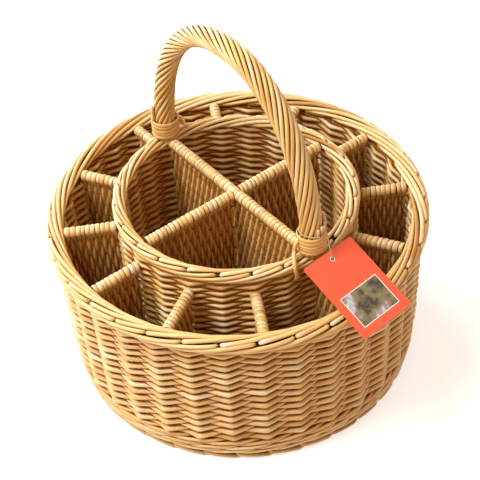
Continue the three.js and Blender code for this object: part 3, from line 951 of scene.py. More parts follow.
@dataclass
class Waling:
    """Rows of waling above the foot, each of three rods that pass in turn in front of the stakes.

    Attributes:
        waves: Waves of a rod round the basket.
        swing: How far a rod swings to the front.
        outward: Share of the swing by which the rows stand outside the stakes' circle.
        flattened: How much a rod's swing is flattened in front of the stakes.
        lift: How far a rod rises and falls as it passes the others.
        shade: How much paler a rod is at the front than behind.
        shade_place: Share of the swing at which a rod has its own tone.
        core_depth: Distance of the core inside the stakes' circle; the core is a dark ring of painted shade
            behind the rods.
    """

    heights: tuple[float, ...] = (18.5, 28.8, 39.0)
    rods: int = 3
    rod: float = 2.3
    waves: int = 11
    steps: int = 15
    swing: float = 6.2
    outward: float = 0.3
    flattened: float = 0.25
    lift: float = 3.0
    tone: float = MIDDLE_TONE
    tone_spread: float = 0.16
    shade: float = 0.34
    shade_place: float = 0.7
    core: float = 4.2
    core_depth: float = 1.5

    def weave(self, bundle: RodBundle, middle: Profile) -> None:
        """Add the rows to a bundle.

        Args:
            bundle: Bundle that takes the rods.
            middle: Radius of the stakes' circle at a height.
        """
        angle = full_turn(self.waves * self.steps)
        for row, height in enumerate(self.heights):
            apart = np.arange(self.rods)[:, None] / self.rods + row / (2 * self.rods)
            turn = self.waves * angle[None, :] + TAU * apart
            level = height + self.lift * np.sin(turn)
            out = self.outward + np.cos(turn) - self.flattened * np.cos(2 * turn)
            radius = middle(np.maximum(level, 0)) + self.swing * out
            tone = bundle.mixed_tones(self.tone, self.tone_spread, self.rods)
            tone = np.clip(tone + self.shade * (out - self.shade_place), LEAST_TONE, MOST_TONE)
            bundle.add(polar(radius, angle, level), self.rod, tone, UP, closed=True)
            # Dark ring behind each row: painted shade that shows between its rods.
            core = polar(middle(np.array(height)) - self.core_depth, angle[None, :], height)
            bundle.add(core, self.core, GAP_SHADE_TONE, UP, closed=True)


@dataclass
class StakeFoot:
    """Foot of the basket: stake ends bent out under the waling, laid down along the foot and tucked in.

    Attributes:
        run: Stake spacings that a stake end runs along the foot.
        crowding: Power that crowds its points at its bend.
        bend: Share of a stake spacing over which it bends down.
        bend_rise: How much higher it comes from at its bend.
        bend_depth: How much further inside it comes from at its bend.
        proud: How far a stake end stands out of the wall's outside.
        tuck_start: Stake spacing after which a stake end tucks in.
        tuck_run: Stake spacings over which it does so.
        tuck: How far it tucks in.
        stray: Angle by which the stake ends stray along the foot.
    """

    rod: float = 2.8
    points: int = 30
    run: float = 1.45
    crowding: float = 1.8
    bend: float = 0.05
    drop: float = 7.0
    bend_rise: float = 4.0
    bend_depth: float = 5.0
    floor_gap: float = 0.1
    proud: float = 1.0
    tuck_start: float = 0.95
    tuck_run: float = 0.4
    tuck: float = 6.0
    stray: float = 0.006
    tone: float = 0.42
    tone_spread: float = 0.12
    core: float = 5.0
    core_gap: float = 0.2

    def weave(self, bundle: RodBundle, wall: RingWeave, outside: Profile) -> None:
        """Add the stake ends to a bundle.

        Args:
            bundle: Bundle that takes the rods.
            wall: Weave of the wall whose stakes these are.
            outside: Outside radius of the wall at a height.
        """
        run = self.run * np.linspace(0, 1, self.points)[None, :] ** self.crowding
        bent = np.exp(-run / self.bend)
        slope = self.drop * (1 - np.clip(run, 0, 1))
        height = self.rod + self.floor_gap + slope + self.bend_rise * bent
        tuck = self.tuck * np.clip((run - self.tuck_start) / self.tuck_run, 0, 1)
        inward = self.rod - self.proud + tuck + self.bend_depth * bent
        turn = TAU * (np.arange(wall.stakes)[:, None] + run) / wall.stakes + wall.lean
        turn = turn + bundle.rng.normal(0, self.stray, (wall.stakes, 1))
        tone = bundle.mixed_tones(self.tone, self.tone_spread, wall.stakes)
        bundle.add(polar(outside(height) - inward, turn, height), self.rod, tone, UP)
        # Near-black ring behind the stake ends: painted shade that shows between them.
        radius = outside(np.array(self.core)) - 2 * self.core
        ring = polar(radius, full_turn(CORE_STEPS)[None, :], self.core + self.core_gap)
        bundle.add(ring, self.core, CORE_SHADE_TONE, UP, closed=True)


@dataclass
class WovenBase:
    """Woven base: a crossed slath, sticks that radiate from it and rows woven round them.

    Attributes:
        edge: How far the first row keeps from the slath's ends, and the last one may pass the base.
        stick_lap: How far a stick reaches into the slath, and past the base.
        slath: Half length of the slath's rods.
        slath_lift: Height of the upper slath rods over the sticks, and depth of the lower ones.
        bound: Radius of the first row that binds the slath.
        binding_swing: How far a binding row swings over and under the slath.
        binding_bend: Sharpness of a binding row's bend at the slath's corners.
        fill_past: How far the dark rods between the rows, painted shade that fills the gaps, run past the
            base.
        fill_every: Points of a row to each point of a dark rod.
    """

    top: float = 13.0
    depth: float = 5.0
    radius: float = 224.0
    row: float = 2.5
    pitch: float = 4.7
    swing: float = 2.5
    steps: int = 12
    edge: float = 2.0
    sticks: int = 24
    stick: float = 1.9
    stick_lap: float = 4.0
    stick_points: int = 6
    stick_tone: float = 0.4
    slath: float = 44.0
    slath_rods: int = 9
    slath_rod: float = 2.85
    slath_pitch: float = 5.6
    slath_lift: float = 1.9
    slath_points: int = 5
    bound: float = 27.5
    binding_swing: float = 3.1
    binding_bend: float = 2.5
    fill_past: float = 6.0
    fill_every: int = 3
    tone: float = MIDDLE_TONE
    tone_spread: float = 0.15

    def weave(self, bundle: RodBundle) -> None:
        """Add the base's rods to a bundle.

        Args:
            bundle: Bundle that takes the rods.
        """
        middle = self.top - self.depth
        angle = full_turn(self.sticks // 2 * self.steps)
        rows = np.arange(self.slath + self.edge, self.radius + self.edge, self.pitch)
        phase = math.pi * (np.arange(len(rows)) % 2)[:, None]
        height = middle + self.swing * np.cos(self.sticks / 2 * angle + phase)
        self._add_rows(bundle, rows, angle, height)
        binding = np.arange(self.bound, self.slath + self.edge, self.pitch)
        height = middle + self.binding_swing * np.tanh(self.binding_bend * np.cos(2 * angle))
        self._add_rows(bundle, binding, angle, height)
        # Dark rings between the rows: painted shade that fills the base's gaps.
        fill = np.arange(self.bound + self.pitch / 2, self.radius + self.fill_past, self.pitch)
        rings = polar(fill[:, None], angle[::self.fill_every], middle)
        bundle.add(rings, self.row, GAP_SHADE_TONE, UP, closed=True)
        spokes = full_turn(self.sticks)[:, None]
        lap = self.stick_lap
        reach = np.linspace(self.slath - lap, self.radius + lap, self.stick_points)[None, :]
        bundle.add(polar(reach, spokes, middle), self.stick, self.stick_tone, UP)
        across = self.slath_pitch * (np.arange(self.slath_rods) - self.slath_rods // 2)[:, None]
        along = np.linspace(-self.slath, self.slath, self.slath_points)[None, :]
        for quarter, lift in ((0.0, -self.slath_lift), (math.pi / 2, self.slath_lift)):
            paths = turned(points_at(along, across, middle + lift), quarter)
            tone = bundle.mixed_tones(self.tone, self.tone_spread, self.slath_rods)
            bundle.add(paths, self.slath_rod, tone, UP)

    def _add_rows(self, bundle: RodBundle, radii: Array, angle: Array, height: Array) -> None:
        """Add closed rows to a bundle.

        Args:
            bundle: Bundle that takes the rods.
            radii: Radius of each row.
            angle: Angles of a row's points.
            height: Heights of the points.
        """
        tone = bundle.mixed_tones(self.tone, self.tone_spread, len(radii))
        bundle.add(polar(radii[:, None], angle, height), self.row, tone, UP, closed=True)


@dataclass
class OuterBasket:
    """Low round basket: woven base, stake foot, waled and randed wall and rolled border.

    Attributes:
        top_outside: Outside radius of the wall at its top.
        taper: How much narrower the wall is at its bend than at its top.
        bend_height: Height of the wall's bend, under which it draws in.
        draw_in: How far it draws in at the foot.
        middle_depth: Depth of the stakes' circle inside the wall's outside.
        under_border: How far the rows run on under the border.
        stake_past: How far the stakes run on into the border.
    """

    top_outside: float = 252.0
    taper: float = 5.0
    bend_height: float = 40.0
    draw_in: float = 9.0
    wall_top: float = 225.7
    middle_depth: float = 9.0
    weave_start: float = 44.0
    under_border: float = 9.0
    stake: float = 2.4
    stake_foot: float = 8.0
    stake_past: float = 6.0
    seed: int = 11
    weave: RingWeave = field(default_factory=lambda: RingWeave(
        stakes=34, swing=7.2, butt=3.65, tip=2.95, lean=0.02))
    waling: Waling = field(default_factory=Waling)
    foot: StakeFoot = field(default_factory=StakeFoot)
    border: RolledBorder = field(default_factory=lambda: RolledBorder(
        stakes=34, rods=9.0, radius=248.0, centre=238.0, depth=12.2, elbow=46.0, core=6.0))
    base: WovenBase = field(default_factory=WovenBase)

    def outside(self, height: Array) -> Array:
        """Outside radius of the wall at a height.

        Args:
            height: Heights above the floor.

        Returns:
            Radius at each height.
        """
        bend = self.top_outside - self.taper
        upper = bend + self.taper * (height - self.bend_height) / (self.wall_top - self.bend_height)
        lower = bend - self.draw_in * (1 - height / self.bend_height) ** 2
        return np.where(height >= self.bend_height, upper, lower)

    def middle(self, height: Array) -> Array:
        """Radius of the stakes' circle at a height."""
        return self.outside(height) - self.middle_depth

    def build(self) -> None:
        """Build and dress the basket's pieces."""
        rng = np.random.default_rng(self.seed)
        wall = RodBundle(rng)
        self.weave.weave(wall, self.weave_start, self.wall_top + self.under_border, self.middle)
        self.waling.weave(wall, self.middle)
        self.weave.uprights(wall, self.stake_foot, self.wall_top + self.stake_past, self.middle, self.stake)
        settle_rods(wall, "wall_weave", Slot.HONEY, "outer_wall")
        foot = RodBundle(rng)
        self.foot.weave(foot, self.weave, self.outside)
        settle_rods(foot, "foot_wale_rods", Slot.HONEY, "foot_wale")
        border = RodBundle(rng, sides=8)
        self.border.weave(border)
        settle_rods(border, "outer_border_rods", Slot.PALE, "outer_border")
        base = RodBundle(rng)
        self.base.weave(base)
        settle_rods(base, "base_weave", Slot.DARK, "base_panel")


@dataclass
class InnerRing:
    """Raised inner ring: randed wall and rolled border, parted at the handle's feet."""

    radius: float = 157.5
    foot: float = 15.8
    wall_top: float = 256.2
    under_border: float = 5.5
    stake: float = 2.2
    stake_past: float = 6.0
    seed: int = 23
    weave: RingWeave = field(default_factory=lambda: RingWeave(
        stakes=24, swing=4.8, butt=3.4, tip=2.8))
    border: RolledBorder = field(default_factory=lambda: RolledBorder(
        stakes=24, rods=7.2, radius=157.5, centre=266.0, depth=9.7, elbow=66.0, upper=2.6, lower=2.4,
        core=3.8, parting=0.4, parted_angles=(0.0, math.pi)))

    def middle(self, height: Array) -> Array:
        """Radius of the stakes' circle, the same at every height."""
        return np.full_like(height, self.radius)

    def build(self) -> None:
        """Build and dress the ring's pieces."""
        rng = np.random.default_rng(self.seed)
        wall = RodBundle(rng)
        self.weave.weave(wall, self.foot, self.wall_top + self.under_border, self.middle)
        self.weave.uprights(wall, self.foot, self.wall_top + self.stake_past, self.middle, self.stake)
        settle_rods(wall, "ring_weave", Slot.HONEY, "ring_wall")
        border = RodBundle(rng, sides=8)
        self.border.weave(border)
        settle_rods(border, "ring_border_rods", Slot.PALE, "ring_border")


@dataclass
class Partition:
    """One woven partition along a spoke: level rods, upright weavers and a wrapped top rail.

    Attributes:
        start: Distance from the axis where it starts.
        end: Distance from the axis where it ends.
        rail: Height of the rail's middle.
        angle: Spoke's angle.
        under_rail: Distance from the rail's middle down to the weavers' ends.
        swing: How far a weaver swings to each side of the level rods.
        lean: How far a weaver strays along the spoke.
        lean_run: Height over which it strays and comes back.
        shade_filler: Radius of the dark rods between the weavers, painted shade that fills the gaps.
        wrap_fit: Least and most share of its place that a wrapped rod fills.
        wrap_radius: Radius of the rail out to the middle of a wrapped rod.
        wrap_flat: Thickness of a wrapped rod for each millimetre of its width.
        wrap_bend: Angles between which a rod is wrapped over the rail, in degrees.
        wrap_slant: How far a wrapped rod slants along the rail.
        leg_drop: How far a wrapped rod's ends run down the panel.
        leg_draw: Share of their distance from the panel's middle that they keep.
        core_depth: Depth of the rail's core under the middle of the wrapped rods.
    """

    start: float
    end: float
    rail: float
    angle: float
    floor: float = 13.4
    under_rail: float = 6.5
    weaver: float = 2.15
    weaver_pitch: float = 5.3
    weaver_step: float = 5.0
    swing: float = 2.25
    lean: float = 0.35
    lean_run: float = 47.0
    level: float = 1.4
    level_pitch: float = 19.0
    level_start: float = 6.0
    level_points: int = 6
    shade_filler: float = 1.8
    filler_points: int = 3
    tone: float = 0.52
    tone_spread: float = 0.14
    wrap_widths: Span = (5.0, 8.2)
    wrap_fit: Span = (0.87, 1.0)
    wrap_radius: float = 6.7
    wrap_flat: float = 0.32
    wrap_bend: Span = (-40.0, 220.0)
    wrap_points: int = 15
    wrap_slant: float = 0.8
    slant_spread: float = 0.3
    leg_drop: float = 6.0
    leg_draw: float = 0.6
    wrap_tone: float = 0.49
    wrap_tone_spread: float = 0.1
    wrap_pale: float = 0.05
    wrap_pale_spread: float = 0.1
    wrap_pale_most: float = 0.4
    core_depth: float = 0.6
    core_points: int = 4

    def weave(self, bundle: RodBundle) -> None:
        """Add the panel's rods.

        Args:
            bundle: Bundle that takes the rods.
        """
        spoke = turned(X_AXIS, self.angle)
        count = int((self.end - self.start) / self.weaver_pitch)
        place = self.start + (self.end - self.start) * (np.arange(count) + 0.5) / count
        top = self.rail - self.under_rail
        height = np.linspace(self.floor, top, int((top - self.floor) / self.weaver_step))[None, :]
        phase = math.pi * (np.arange(count) % 2)[:, None]
        side = self.swing * np.cos(math.pi * height / self.level_pitch + phase)
        lean = bundle.rng.normal(0, self.lean, (count, 1))
        lean = lean * np.sin(math.pi * height / self.lean_run + bundle.rng.uniform(0, TAU, (count, 1)))
        weavers = points_at(place[:, None] + lean, side, height)
        tone = bundle.mixed_tones(self.tone, self.tone_spread, count)
        bundle.add(turned(weavers, self.angle), self.weaver, tone, spoke)
        # Level rods of the panel, coloured dark as painted shade.
        along = np.linspace(self.start, self.end, self.level_points)[None, :]
        heights = np.arange(self.floor + self.level_start, top, self.level_pitch)[:, None]
        bundle.add(turned(points_at(along, 0.0, heights), self.angle), self.level, GAP_SHADE_TONE, UP)
        # Dark rods between the weavers: painted shade that fills the gaps.
        between = (place[:-1] + place[1:]) / 2
        upright = np.linspace(self.floor, top, self.filler_points)
        shade_fillers = points_at(between[:, None], 0.0, upright)
        bundle.add(turned(shade_fillers, self.angle), self.shade_filler, GAP_SHADE_TONE, spoke)

    def wrap_rail(self, bundle: RodBundle) -> None:
        """Add the rail's core and the split rods wrapped over it, of mixed widths.

        Args:
            bundle: Bundle that takes the rods.
        """
        length = self.end - self.start
        widths = bundle.rng.uniform(*self.wrap_widths, int(length / self.wrap_widths[0]))
        edges = np.concatenate([[0.0], np.cumsum(widths)])
        count = int(np.searchsorted(edges, length)) - 1
        widths, edges = widths[:count], edges[:count] * length / edges[count]
        place = self.start + edges + widths / 2
        bend = np.radians(np.linspace(*self.wrap_bend, self.wrap_points))[None, :]
        side = self.wrap_radius * np.cos(bend)
        rise = self.rail + self.wrap_radius * np.sin(bend)
        slant = (self.wrap_slant + bundle.rng.normal(0.0, self.slant_spread, (count, 1))) * np.cos(bend)
        paths = points_at(place[:, None] + slant, side, rise)
        leg, other = paths[:, :1].copy(), paths[:, -1:].copy()
        for end in (leg, other):
            end[..., 2] -= self.leg_drop
            end[..., 1] *= self.leg_draw
        paths = np.concatenate([leg, paths, other], axis=1)
        tone = bundle.mixed_tones(self.wrap_tone, self.wrap_tone_spread, count)
        pale = bundle.rng.normal(self.wrap_pale, self.wrap_pale_spread, (count, 1))
        pale = np.clip(pale, 0.0, self.wrap_pale_most)
        half = widths[:, None] / 2 * bundle.rng.uniform(*self.wrap_fit, (count, 1))
        spoke = turned(X_AXIS, self.angle)
        bundle.add(turned(paths, self.angle), half, tone, spoke, pales=pale, flat=self.wrap_flat)
        # Rail core in the near-black tone: painted shade that shows between the wraps.
        along = np.linspace(self.start, self.end, self.core_points)[None, :]
        core = turned(points_at(along, 0.0, self.rail), self.angle)
        bundle.add(core, self.wrap_radius - self.core_depth, CORE_SHADE_TONE, UP)


@dataclass
class Partitions:
    """All the woven partitions: a ring of dividers and the cross in the inner ring."""

    dividers: int = 12
    ring_outside: float = 164.4
    border_inside: float = 235.6
    divider_rail: float = 236.0
    cross_start: float = 6.4
    cross_end: float = 147.6
    cross_rail: float = 267.5
    seed: int = 37

    def build(self) -> None:
        """Build and dress every partition and its rail."""
        rng = np.random.default_rng(self.seed)
        for number in range(self.dividers):
            angle = TAU * number / self.dividers
            spoke = Partition(self.ring_outside, self.border_inside, self.divider_rail, angle)
            self._dress(spoke, "divider", f"{number + 1:02d}", rng)
        arms = (("long", -self.cross_end, 0.0), ("left", self.cross_start, TAU / 4),
                ("right", self.cross_start, -TAU / 4))
        for label, start, angle in arms:
            spoke = Partition(start, self.cross_end, self.cross_rail, angle)
            self._dress(spoke, "cross", label, rng)

    @staticmethod
    def _dress(spoke: Partition, kind: str, label: str, rng: np.random.Generator) -> None:
        """Build one partition's panel and rail and put them on the basket.

        Args:
            spoke: The partition.
            kind: First word of its pieces' and nodes' names.
            label: Last word of the names.
            rng: Source of the rods' differences.
        """
        panel = RodBundle(rng)
        spoke.weave(panel)
        settle_rods(panel, f"{kind}_weave_{label}", Slot.DARK, f"{kind}_panel_{label}")
        rail = RodBundle(rng, sides=8)
        spoke.wrap_rail(rail)
        settle_rods(rail, f"{kind}_wraps_{label}", Slot.PALE, f"{kind}_rail_{label}")


@dataclass
class RopedHandle:
    """Arch handle: rods twisted round a bow, with wrapped bands at its feet.

    Attributes:
        squareness: Power of the arch's rounded outline, where 2 is an ellipse.
        swelling: Power by which the radius changes from the crown to the feet.
        crown_slimming: Share of its radius that a rod loses at the crown.
        uneven: Least and most of a rod's radius, for each millimetre of the usual one.
        lead_front: Length of one turn of the rope at the front foot.
        tail_drops: Depths under a foot of the rods' points in the border.
        tail_draw: Share of their reach that the rods lose for each millimetre of that depth.
        band_flat: Width of a band's rod for each millimetre of its thickness.
        band_starts: Angles where the bands' rods start at the front and back foot.
        wobble: How far a band's turns stray up and down.
        wobble_rate: Strays to each turn.
        stub: Radius of the cut rod ends that stand out of a band.
        stub_root: Depth of the ends' roots in the band.
        foot_lean: How far the rope leans inwards at the band's top.
        tie: Radius of the rod that ties a band to the border.
    """

    half_span: float = 157.5
    foot: float = 275.8
    rise: float = 228.0
    squareness: float = 2.2
    crown_radius: float = 15.0
    foot_radius: float = 14.6
    swelling: float = 1.5
    strands: int = 12
    strand: float = 2.4
    strand_flat: float = 1.18
    crown_slimming: float = 0.13
    uneven: Span = (0.95, 1.04)
    strand_tone: float = 0.56
    strand_tone_spread: float = 0.09
    lead_front: float = 260.0
    lead_crown: float = 168.0
    lead_back: float = 195.0
    tail_drops: tuple[float, ...] = (14.0, 9.0, 4.5)
    tail_draw: float = 0.02
    bow: float = 10.4
    band_height: float = 35.0
    band_radius: float = 19.8
    band_rod: float = 1.3
    band_flat: float = 2.5
    band_turns: float = 5.4
    band_steps: int = 20
    band_starts: Span = (0.4, 2.0)
    band_tone: float = 0.4
    band_tone_swing: float = 0.1
    band_tone_spread: float = 0.03
    wobble: float = 0.5
    wobble_rate: float = 1.3
    stub: float = 2.1
    stub_root: float = 8.0
    stub_angles: tuple[float, ...] = (-9.0, 11.0, 29.0, 46.0, 61.0, 75.0)
    stub_heights: tuple[float, ...] = (9.5, 11.5, 8.5, 11.0, 16.0, 20.0)
    stub_splay: float = 0.5
    stub_points: int = 4
    stub_tone: float = 0.42
    stub_tone_spread: float = 0.1
    stub_pale: float = 0.25
    foot_lean: float = 1.2
    tie: float = 2.8
    tie_points: tuple[Triple, ...] = (
        (151.0, -14.0, 303.0), (152.9, -22.2, 295.5), (153.0, -25.5, 284.5), (160.5, -32.0, 279.5),
        (166.8, -35.8, 271.0), (167.4, -33.5, 256.5), (162.0, -31.5, 247.0))
    tie_fill: int = 6
    steps: int = 150
    fine_steps: int = 2001
    outline_steps: int = 4001
    seed: int = 51

    def arch(self, steps: int) -> tuple[Array, Array, Array]:
        """Centre line of the handle at even steps of its length.

        Args:
            steps: Number of points.

        Returns:
            Points, directions along, and share of the length from the front foot.
        """
        fine = np.linspace(0, math.pi, self.outline_steps)
        power = 2 / self.squareness
        across = np.sign(np.cos(fine)) * np.abs(np.cos(fine)) ** power
        up = np.maximum(np.sin(fine), 0) ** power
        line = points_at(self.half_span * across, 0.0, self.foot + self.rise * up)
        length = np.concatenate([[0], np.cumsum(np.linalg.norm(np.diff(line, axis=0), axis=1))])
        share = np.linspace(0, 1, steps)
        points = at_places(share * length[-1], length, line)
        along = unit(np.gradient(points, axis=0))
        return points, along, share

    @property
    def length(self) -> float:
        """Length of the handle's centre line."""
        return line_length(self.arch(self.fine_steps)[0])

    def radius_at(self, share: Array) -> Array:
        """Outside radius of the rope at a share of its length."""
        footness = np.abs(2 * share - 1) ** self.swelling
        return self.crown_radius + (self.foot_radius - self.crown_radius) * footness

    def turn(self, share: Array) -> Array:
        """Turn of the strands at a share of the length, twisted tightest at the crown.

        Args:
            share: Shares of the length from the front foot.

        Returns:
            Angle in radians at each share.
        """
        front, back = TAU / self.lead_front, TAU / self.lead_back
        tightening = TAU / self.lead_crown - (front + back) / 2
        cosine = np.cos(math.pi * share)
        tightened = (2 / 3 - cosine + cosine ** 3 / 3) / math.pi
        even = front * share + (back - front) * share ** 2 / 2
        return self.length * (even + tightening * tightened)

    def rope(self, bundle: RodBundle) -> None:
        """Add the twisted rods, which run on below the feet into the border, and the bow inside them.

        Args:
            bundle: Bundle that takes the rods.
        """
        points, along, share = self.arch(self.steps)
        out = np.cross(Y_AXIS, along)
        drop = np.array(self.tail_drops)
        drawn_in = 1 - self.tail_draw * drop
        turn = self.turn(share)
        turn = np.concatenate([turn[0] - drop * TAU / self.lead_front, turn,
                               (turn[-1] + drop * TAU / self.lead_back)[::-1]])
        thick = self.strand * (1 - self.crown_slimming * np.sin(math.pi * share))
        reach = self.radius_at(share) - thick
        reach = np.concatenate([reach[0] * drawn_in, reach, reach[-1] * drawn_in[::-1]])
        thick = np.concatenate([np.full(len(drop), thick[0]), thick, np.full(len(drop), thick[-1])])
        thick = thick * bundle.rng.uniform(*self.uneven, (self.strands, 1))
        tails = [points[end] - UP * drop[:, None] for end in (0, -1)]
        points = np.concatenate([tails[0], points, tails[1][::-1]])
        out = np.concatenate([np.repeat(out[:1], len(drop), 0), out, np.repeat(out[-1:], len(drop), 0)])
        angle = full_turn(self.strands)[:, None] + turn
        spoke = np.cos(angle)[..., None] * out + np.sin(angle)[..., None] * Y_AXIS
        tone = bundle.mixed_tones(self.strand_tone, self.strand_tone_spread, self.strands)
        bundle.add(points + spoke * reach[:, None], thick, tone, spoke, flat=self.strand_flat)
        # Bow in the near-black tone: painted shade that shows between the twisted rods.
        bundle.add(points[None], self.bow, CORE_SHADE_TONE, out[None])

    def band(self, bundle: RodBundle, front: bool) -> None:
        """Add the rod wound round one foot.

        Args:
            bundle: Bundle that takes the rod.
            front: Whether it is the front foot.
        """
        steps = int(self.band_turns * self.band_steps)
        share = np.linspace(0, 1, steps)
        points, _, known = self.arch(self.fine_steps)
        low = self.band_rod * self.band_flat
        high = self.band_height - low
        place = (low + (high - low) * share) / self.length
        centre = at_places(place if front else 1 - place, known, points)
        angle = TAU * self.band_turns * share + self.band_starts[0 if front else 1]
        spoke = polar(1.0, angle, 0.0)
        reach = self.band_radius - self.band_rod
        wobble = UP * (self.wobble * np.sin(self.wobble_rate * angle))[:, None]
        tone = self.band_tone + self.band_tone_swing * np.sin(angle / 2)
        tone = np.clip(tone + bundle.rng.normal(0, self.band_tone_spread, steps), LEAST_TONE, MOST_TONE)
        path = centre + wobble + spoke * reach
        bundle.add(path[None], self.band_rod, tone[None], spoke[None], flat=self.band_flat)

    def foot_ends(self, bundle: RodBundle, front: bool) -> None:
        """Add the cut rod ends that stand out of a band and the rod that ties it to the border.

        Args:
            bundle: Bundle that takes the rods.
            front: Whether it is the front foot.
        """
        half_turn = np.diag([1.0, 1.0, 1.0] if front else [-1.0, -1.0, 1.0])
        root = self.foot + self.band_height - self.stub_root
        angles = np.radians(np.array(self.stub_angles))[:, None]
        tall = np.array(self.stub_heights)[:, None]
        rise = np.linspace(0, 1, self.stub_points)[None, :]
        reach = self.foot_radius + self.stub + self.stub_splay * rise
        stubs = polar(reach, angles, root + (self.stub_root + tall) * rise)
        stubs = stubs + X_AXIS * (self.half_span - self.foot_lean)
        tone = bundle.mixed_tones(self.stub_tone, self.stub_tone_spread, len(tall))
        outward = polar(1.0, angles, 0.0)
        bundle.add(stubs @ half_turn, self.stub, tone, outward, pales=self.stub_pale * rise ** 3)
        tie = smooth_line(np.array(self.tie_points), self.tie_fill)[None] @ half_turn
        bundle.add(tie, self.tie, MIDDLE_TONE, unit(tie * (X_AXIS + Y_AXIS)))

    def build(self) -> None:
        """Build and dress the handle's pieces."""
        rng = np.random.default_rng(self.seed)
        rope = RodBundle(rng, sides=8)
        self.rope(rope)
        settle_rods(rope, "handle_rods", Slot.HONEY, "handle_rope", "bow_end_front", "bow_end_back")
        for name, front in (("front", True), ("back", False)):
            band = RodBundle(rng, sides=8)
            self.band(band, front)
            self.foot_ends(band, front)
            settle_rods(band, f"foot_wraps_{name}", Slot.PALE, f"foot_band_{name}")


@dataclass
class SwingTag:
    """Card tag on a string from the handle's front foot.

    Attributes:
        hole: Middle of the card's string hole.
        panel_place: Distance along the card from the hole to the panel's middle.
        panel_lift: Gap between the card and the panel.
        panel_middle: Distance from the panel's middle within which a face is the printed one.
        panel_upward: Least rise of the printed face's normal.
        eyelet_flat: Height of the eyelet's rim for each millimetre of its width.
        loop_start: Share of a turn at which the loop starts.
        loop_turns: Turns of the loop.
        widens_from: Share of the loop after which it widens to pass over the band.
        over_band: Radius at which the string leaves the loop, over the band.
        drop_point: Share of the drop to the hole at which the string has a point.
    """

    hole: Triple = (189.849, 6.0, 277.792)
    slope: float = math.radians(24.0)
    yaw: float = math.radians(4.8)
    thickness: float = 0.8
    panel: Span = (46.7, 63.4)
    panel_thickness: float = 0.12
    panel_edge: float = 1.1
    panel_place: float = 70.3
    panel_lift: float = 0.02
    panel_middle: float = 4.0
    panel_upward: float = 0.9
    eyelet: float = 2.9
    eyelet_rim: float = 0.5
    eyelet_flat: float = 0.4
    eyelet_segments: int = 36
    rim_segments: int = 10
    string: float = 1.4
    loop_centre: Triple = (156.3, 0.0, 311.3)
    loop_radius: float = 15.7
    loop_start: float = 0.25
    loop_turns: float = 0.82
    loop_points: int = 16
    widens_from: float = 0.75
    over_band: float = 21.4
    drop_point: float = 0.4
    string_fill: int = 8
    string_rounding: int = 3

    def route(self) -> Array:
        """Points of the string from its loop round the handle to the tag's hole.

        Returns:
            Points in millimetres.
        """
        share = np.linspace(0, 1, self.loop_points + 1)
        angle = TAU * (self.loop_start + self.loop_turns * share)
        widened = np.maximum(0, share - self.widens_from) / (1 - self.widens_from)
        radius = self.loop_radius + (self.over_band - self.loop_radius) * widened
        loop = polar(radius, angle, -self.string * share) + np.array(self.loop_centre)
        hole = np.array(self.hole)
        return np.concatenate([loop, [loop[-1] + (hole - loop[-1]) * self.drop_point, hole]])

    def build(self) -> None:
        """Build and dress the tag and its string."""
        card = bpy.data.objects["swing_tag"]
        card.data.materials.clear()
        card.data.materials.append(CORAL_CARD.material())
        self.build_panel()
        self.build_eyelet()
        self.build_string()

    def build_panel(self) -> None:
        """Printed panel with a white edge, set on the card's face."""
        bpy.ops.object.select_all(action="DESELECT")
        bpy.ops.mesh.primitive_plane_add(size=1.0)
        width, length = self.panel
        panel = self._named("tag_panel", (width * MM, length * MM, 1.0))
        bpy.ops.object.mode_set(mode="EDIT")
        bpy.ops.mesh.select_all(action="SELECT")
        raised = (0, 0, self.panel_thickness * MM)
        bpy.ops.mesh.extrude_region_move(TRANSFORM_OT_translate={"value": raised})
        bpy.ops.mesh.inset(thickness=self.panel_edge * MM, depth=0.0)
        bpy.ops.object.mode_set(mode="OBJECT")
        panel.data.materials.append(WHITE_CARD.material())
        panel.data.materials.append(MOTTLED_PRINT.material())
        for polygon in panel.data.polygons:
            centred = Vector(polygon.center[:2]).length < self.panel_middle * MM
            printed = centred and polygon.normal.z > self.panel_upward
            polygon.material_index = 1 if printed else 0
        panel.data.transform(self.on_card(self.panel_place, self.thickness / 2 + self.panel_lift))
        select_only(panel)
        bpy.ops.object.mode_set(mode="EDIT")
        bpy.ops.mesh.select_all(action="SELECT")
        bpy.ops.mesh.normals_make_consistent(inside=False)
        bpy.ops.object.mode_set(mode="OBJECT")
        settle(panel, Body.TAG, Slot.CARD)

    def build_eyelet(self) -> None:
        """White ring that strengthens the card round its string hole."""
        bpy.ops.object.select_all(action="DESELECT")
        bpy.ops.mesh.primitive_torus_add(
            major_segments=self.eyelet_segments, minor_segments=self.rim_segments,
            major_radius=self.eyelet * MM, minor_radius=self.eyelet_rim * MM)
        ring = self._named("tag_eyelet", (1.0, 1.0, self.eyelet_flat))
        bpy.ops.object.shade_smooth()
        ring.data.materials.append(WHITE_CARD.material())
        ring.data.transform(self.on_card(0.0, self.thickness / 2))
        settle(ring, Body.TAG, Slot.CARD)

    @staticmethod
    def _named(name: str, scale: Triple) -> bpy.types.Object:
        """Name the primitive just added and apply a scale to it.

        Args:
            name: Name of the piece and of its mesh.
            scale: Scale along each axis.

        Returns:
            The named object.
        """
        piece = bpy.context.object
        piece.name = name
        piece.data.name = name
        piece.scale = scale
        bpy.ops.object.transform_apply(location=False, rotation=False, scale=True)
        return piece

    def on_card(self, along: float, above: float) -> Matrix:
        """Place on the card at a distance from its hole and above its middle, in millimetres."""
        return (Matrix.Translation(Vector(self.hole) * MM) @ Matrix.Rotation(self.yaw, 4, "Z")
                @ Matrix.Rotation(self.slope, 4, "Y") @ Matrix.Translation((along * MM, 0.0, above * MM)))

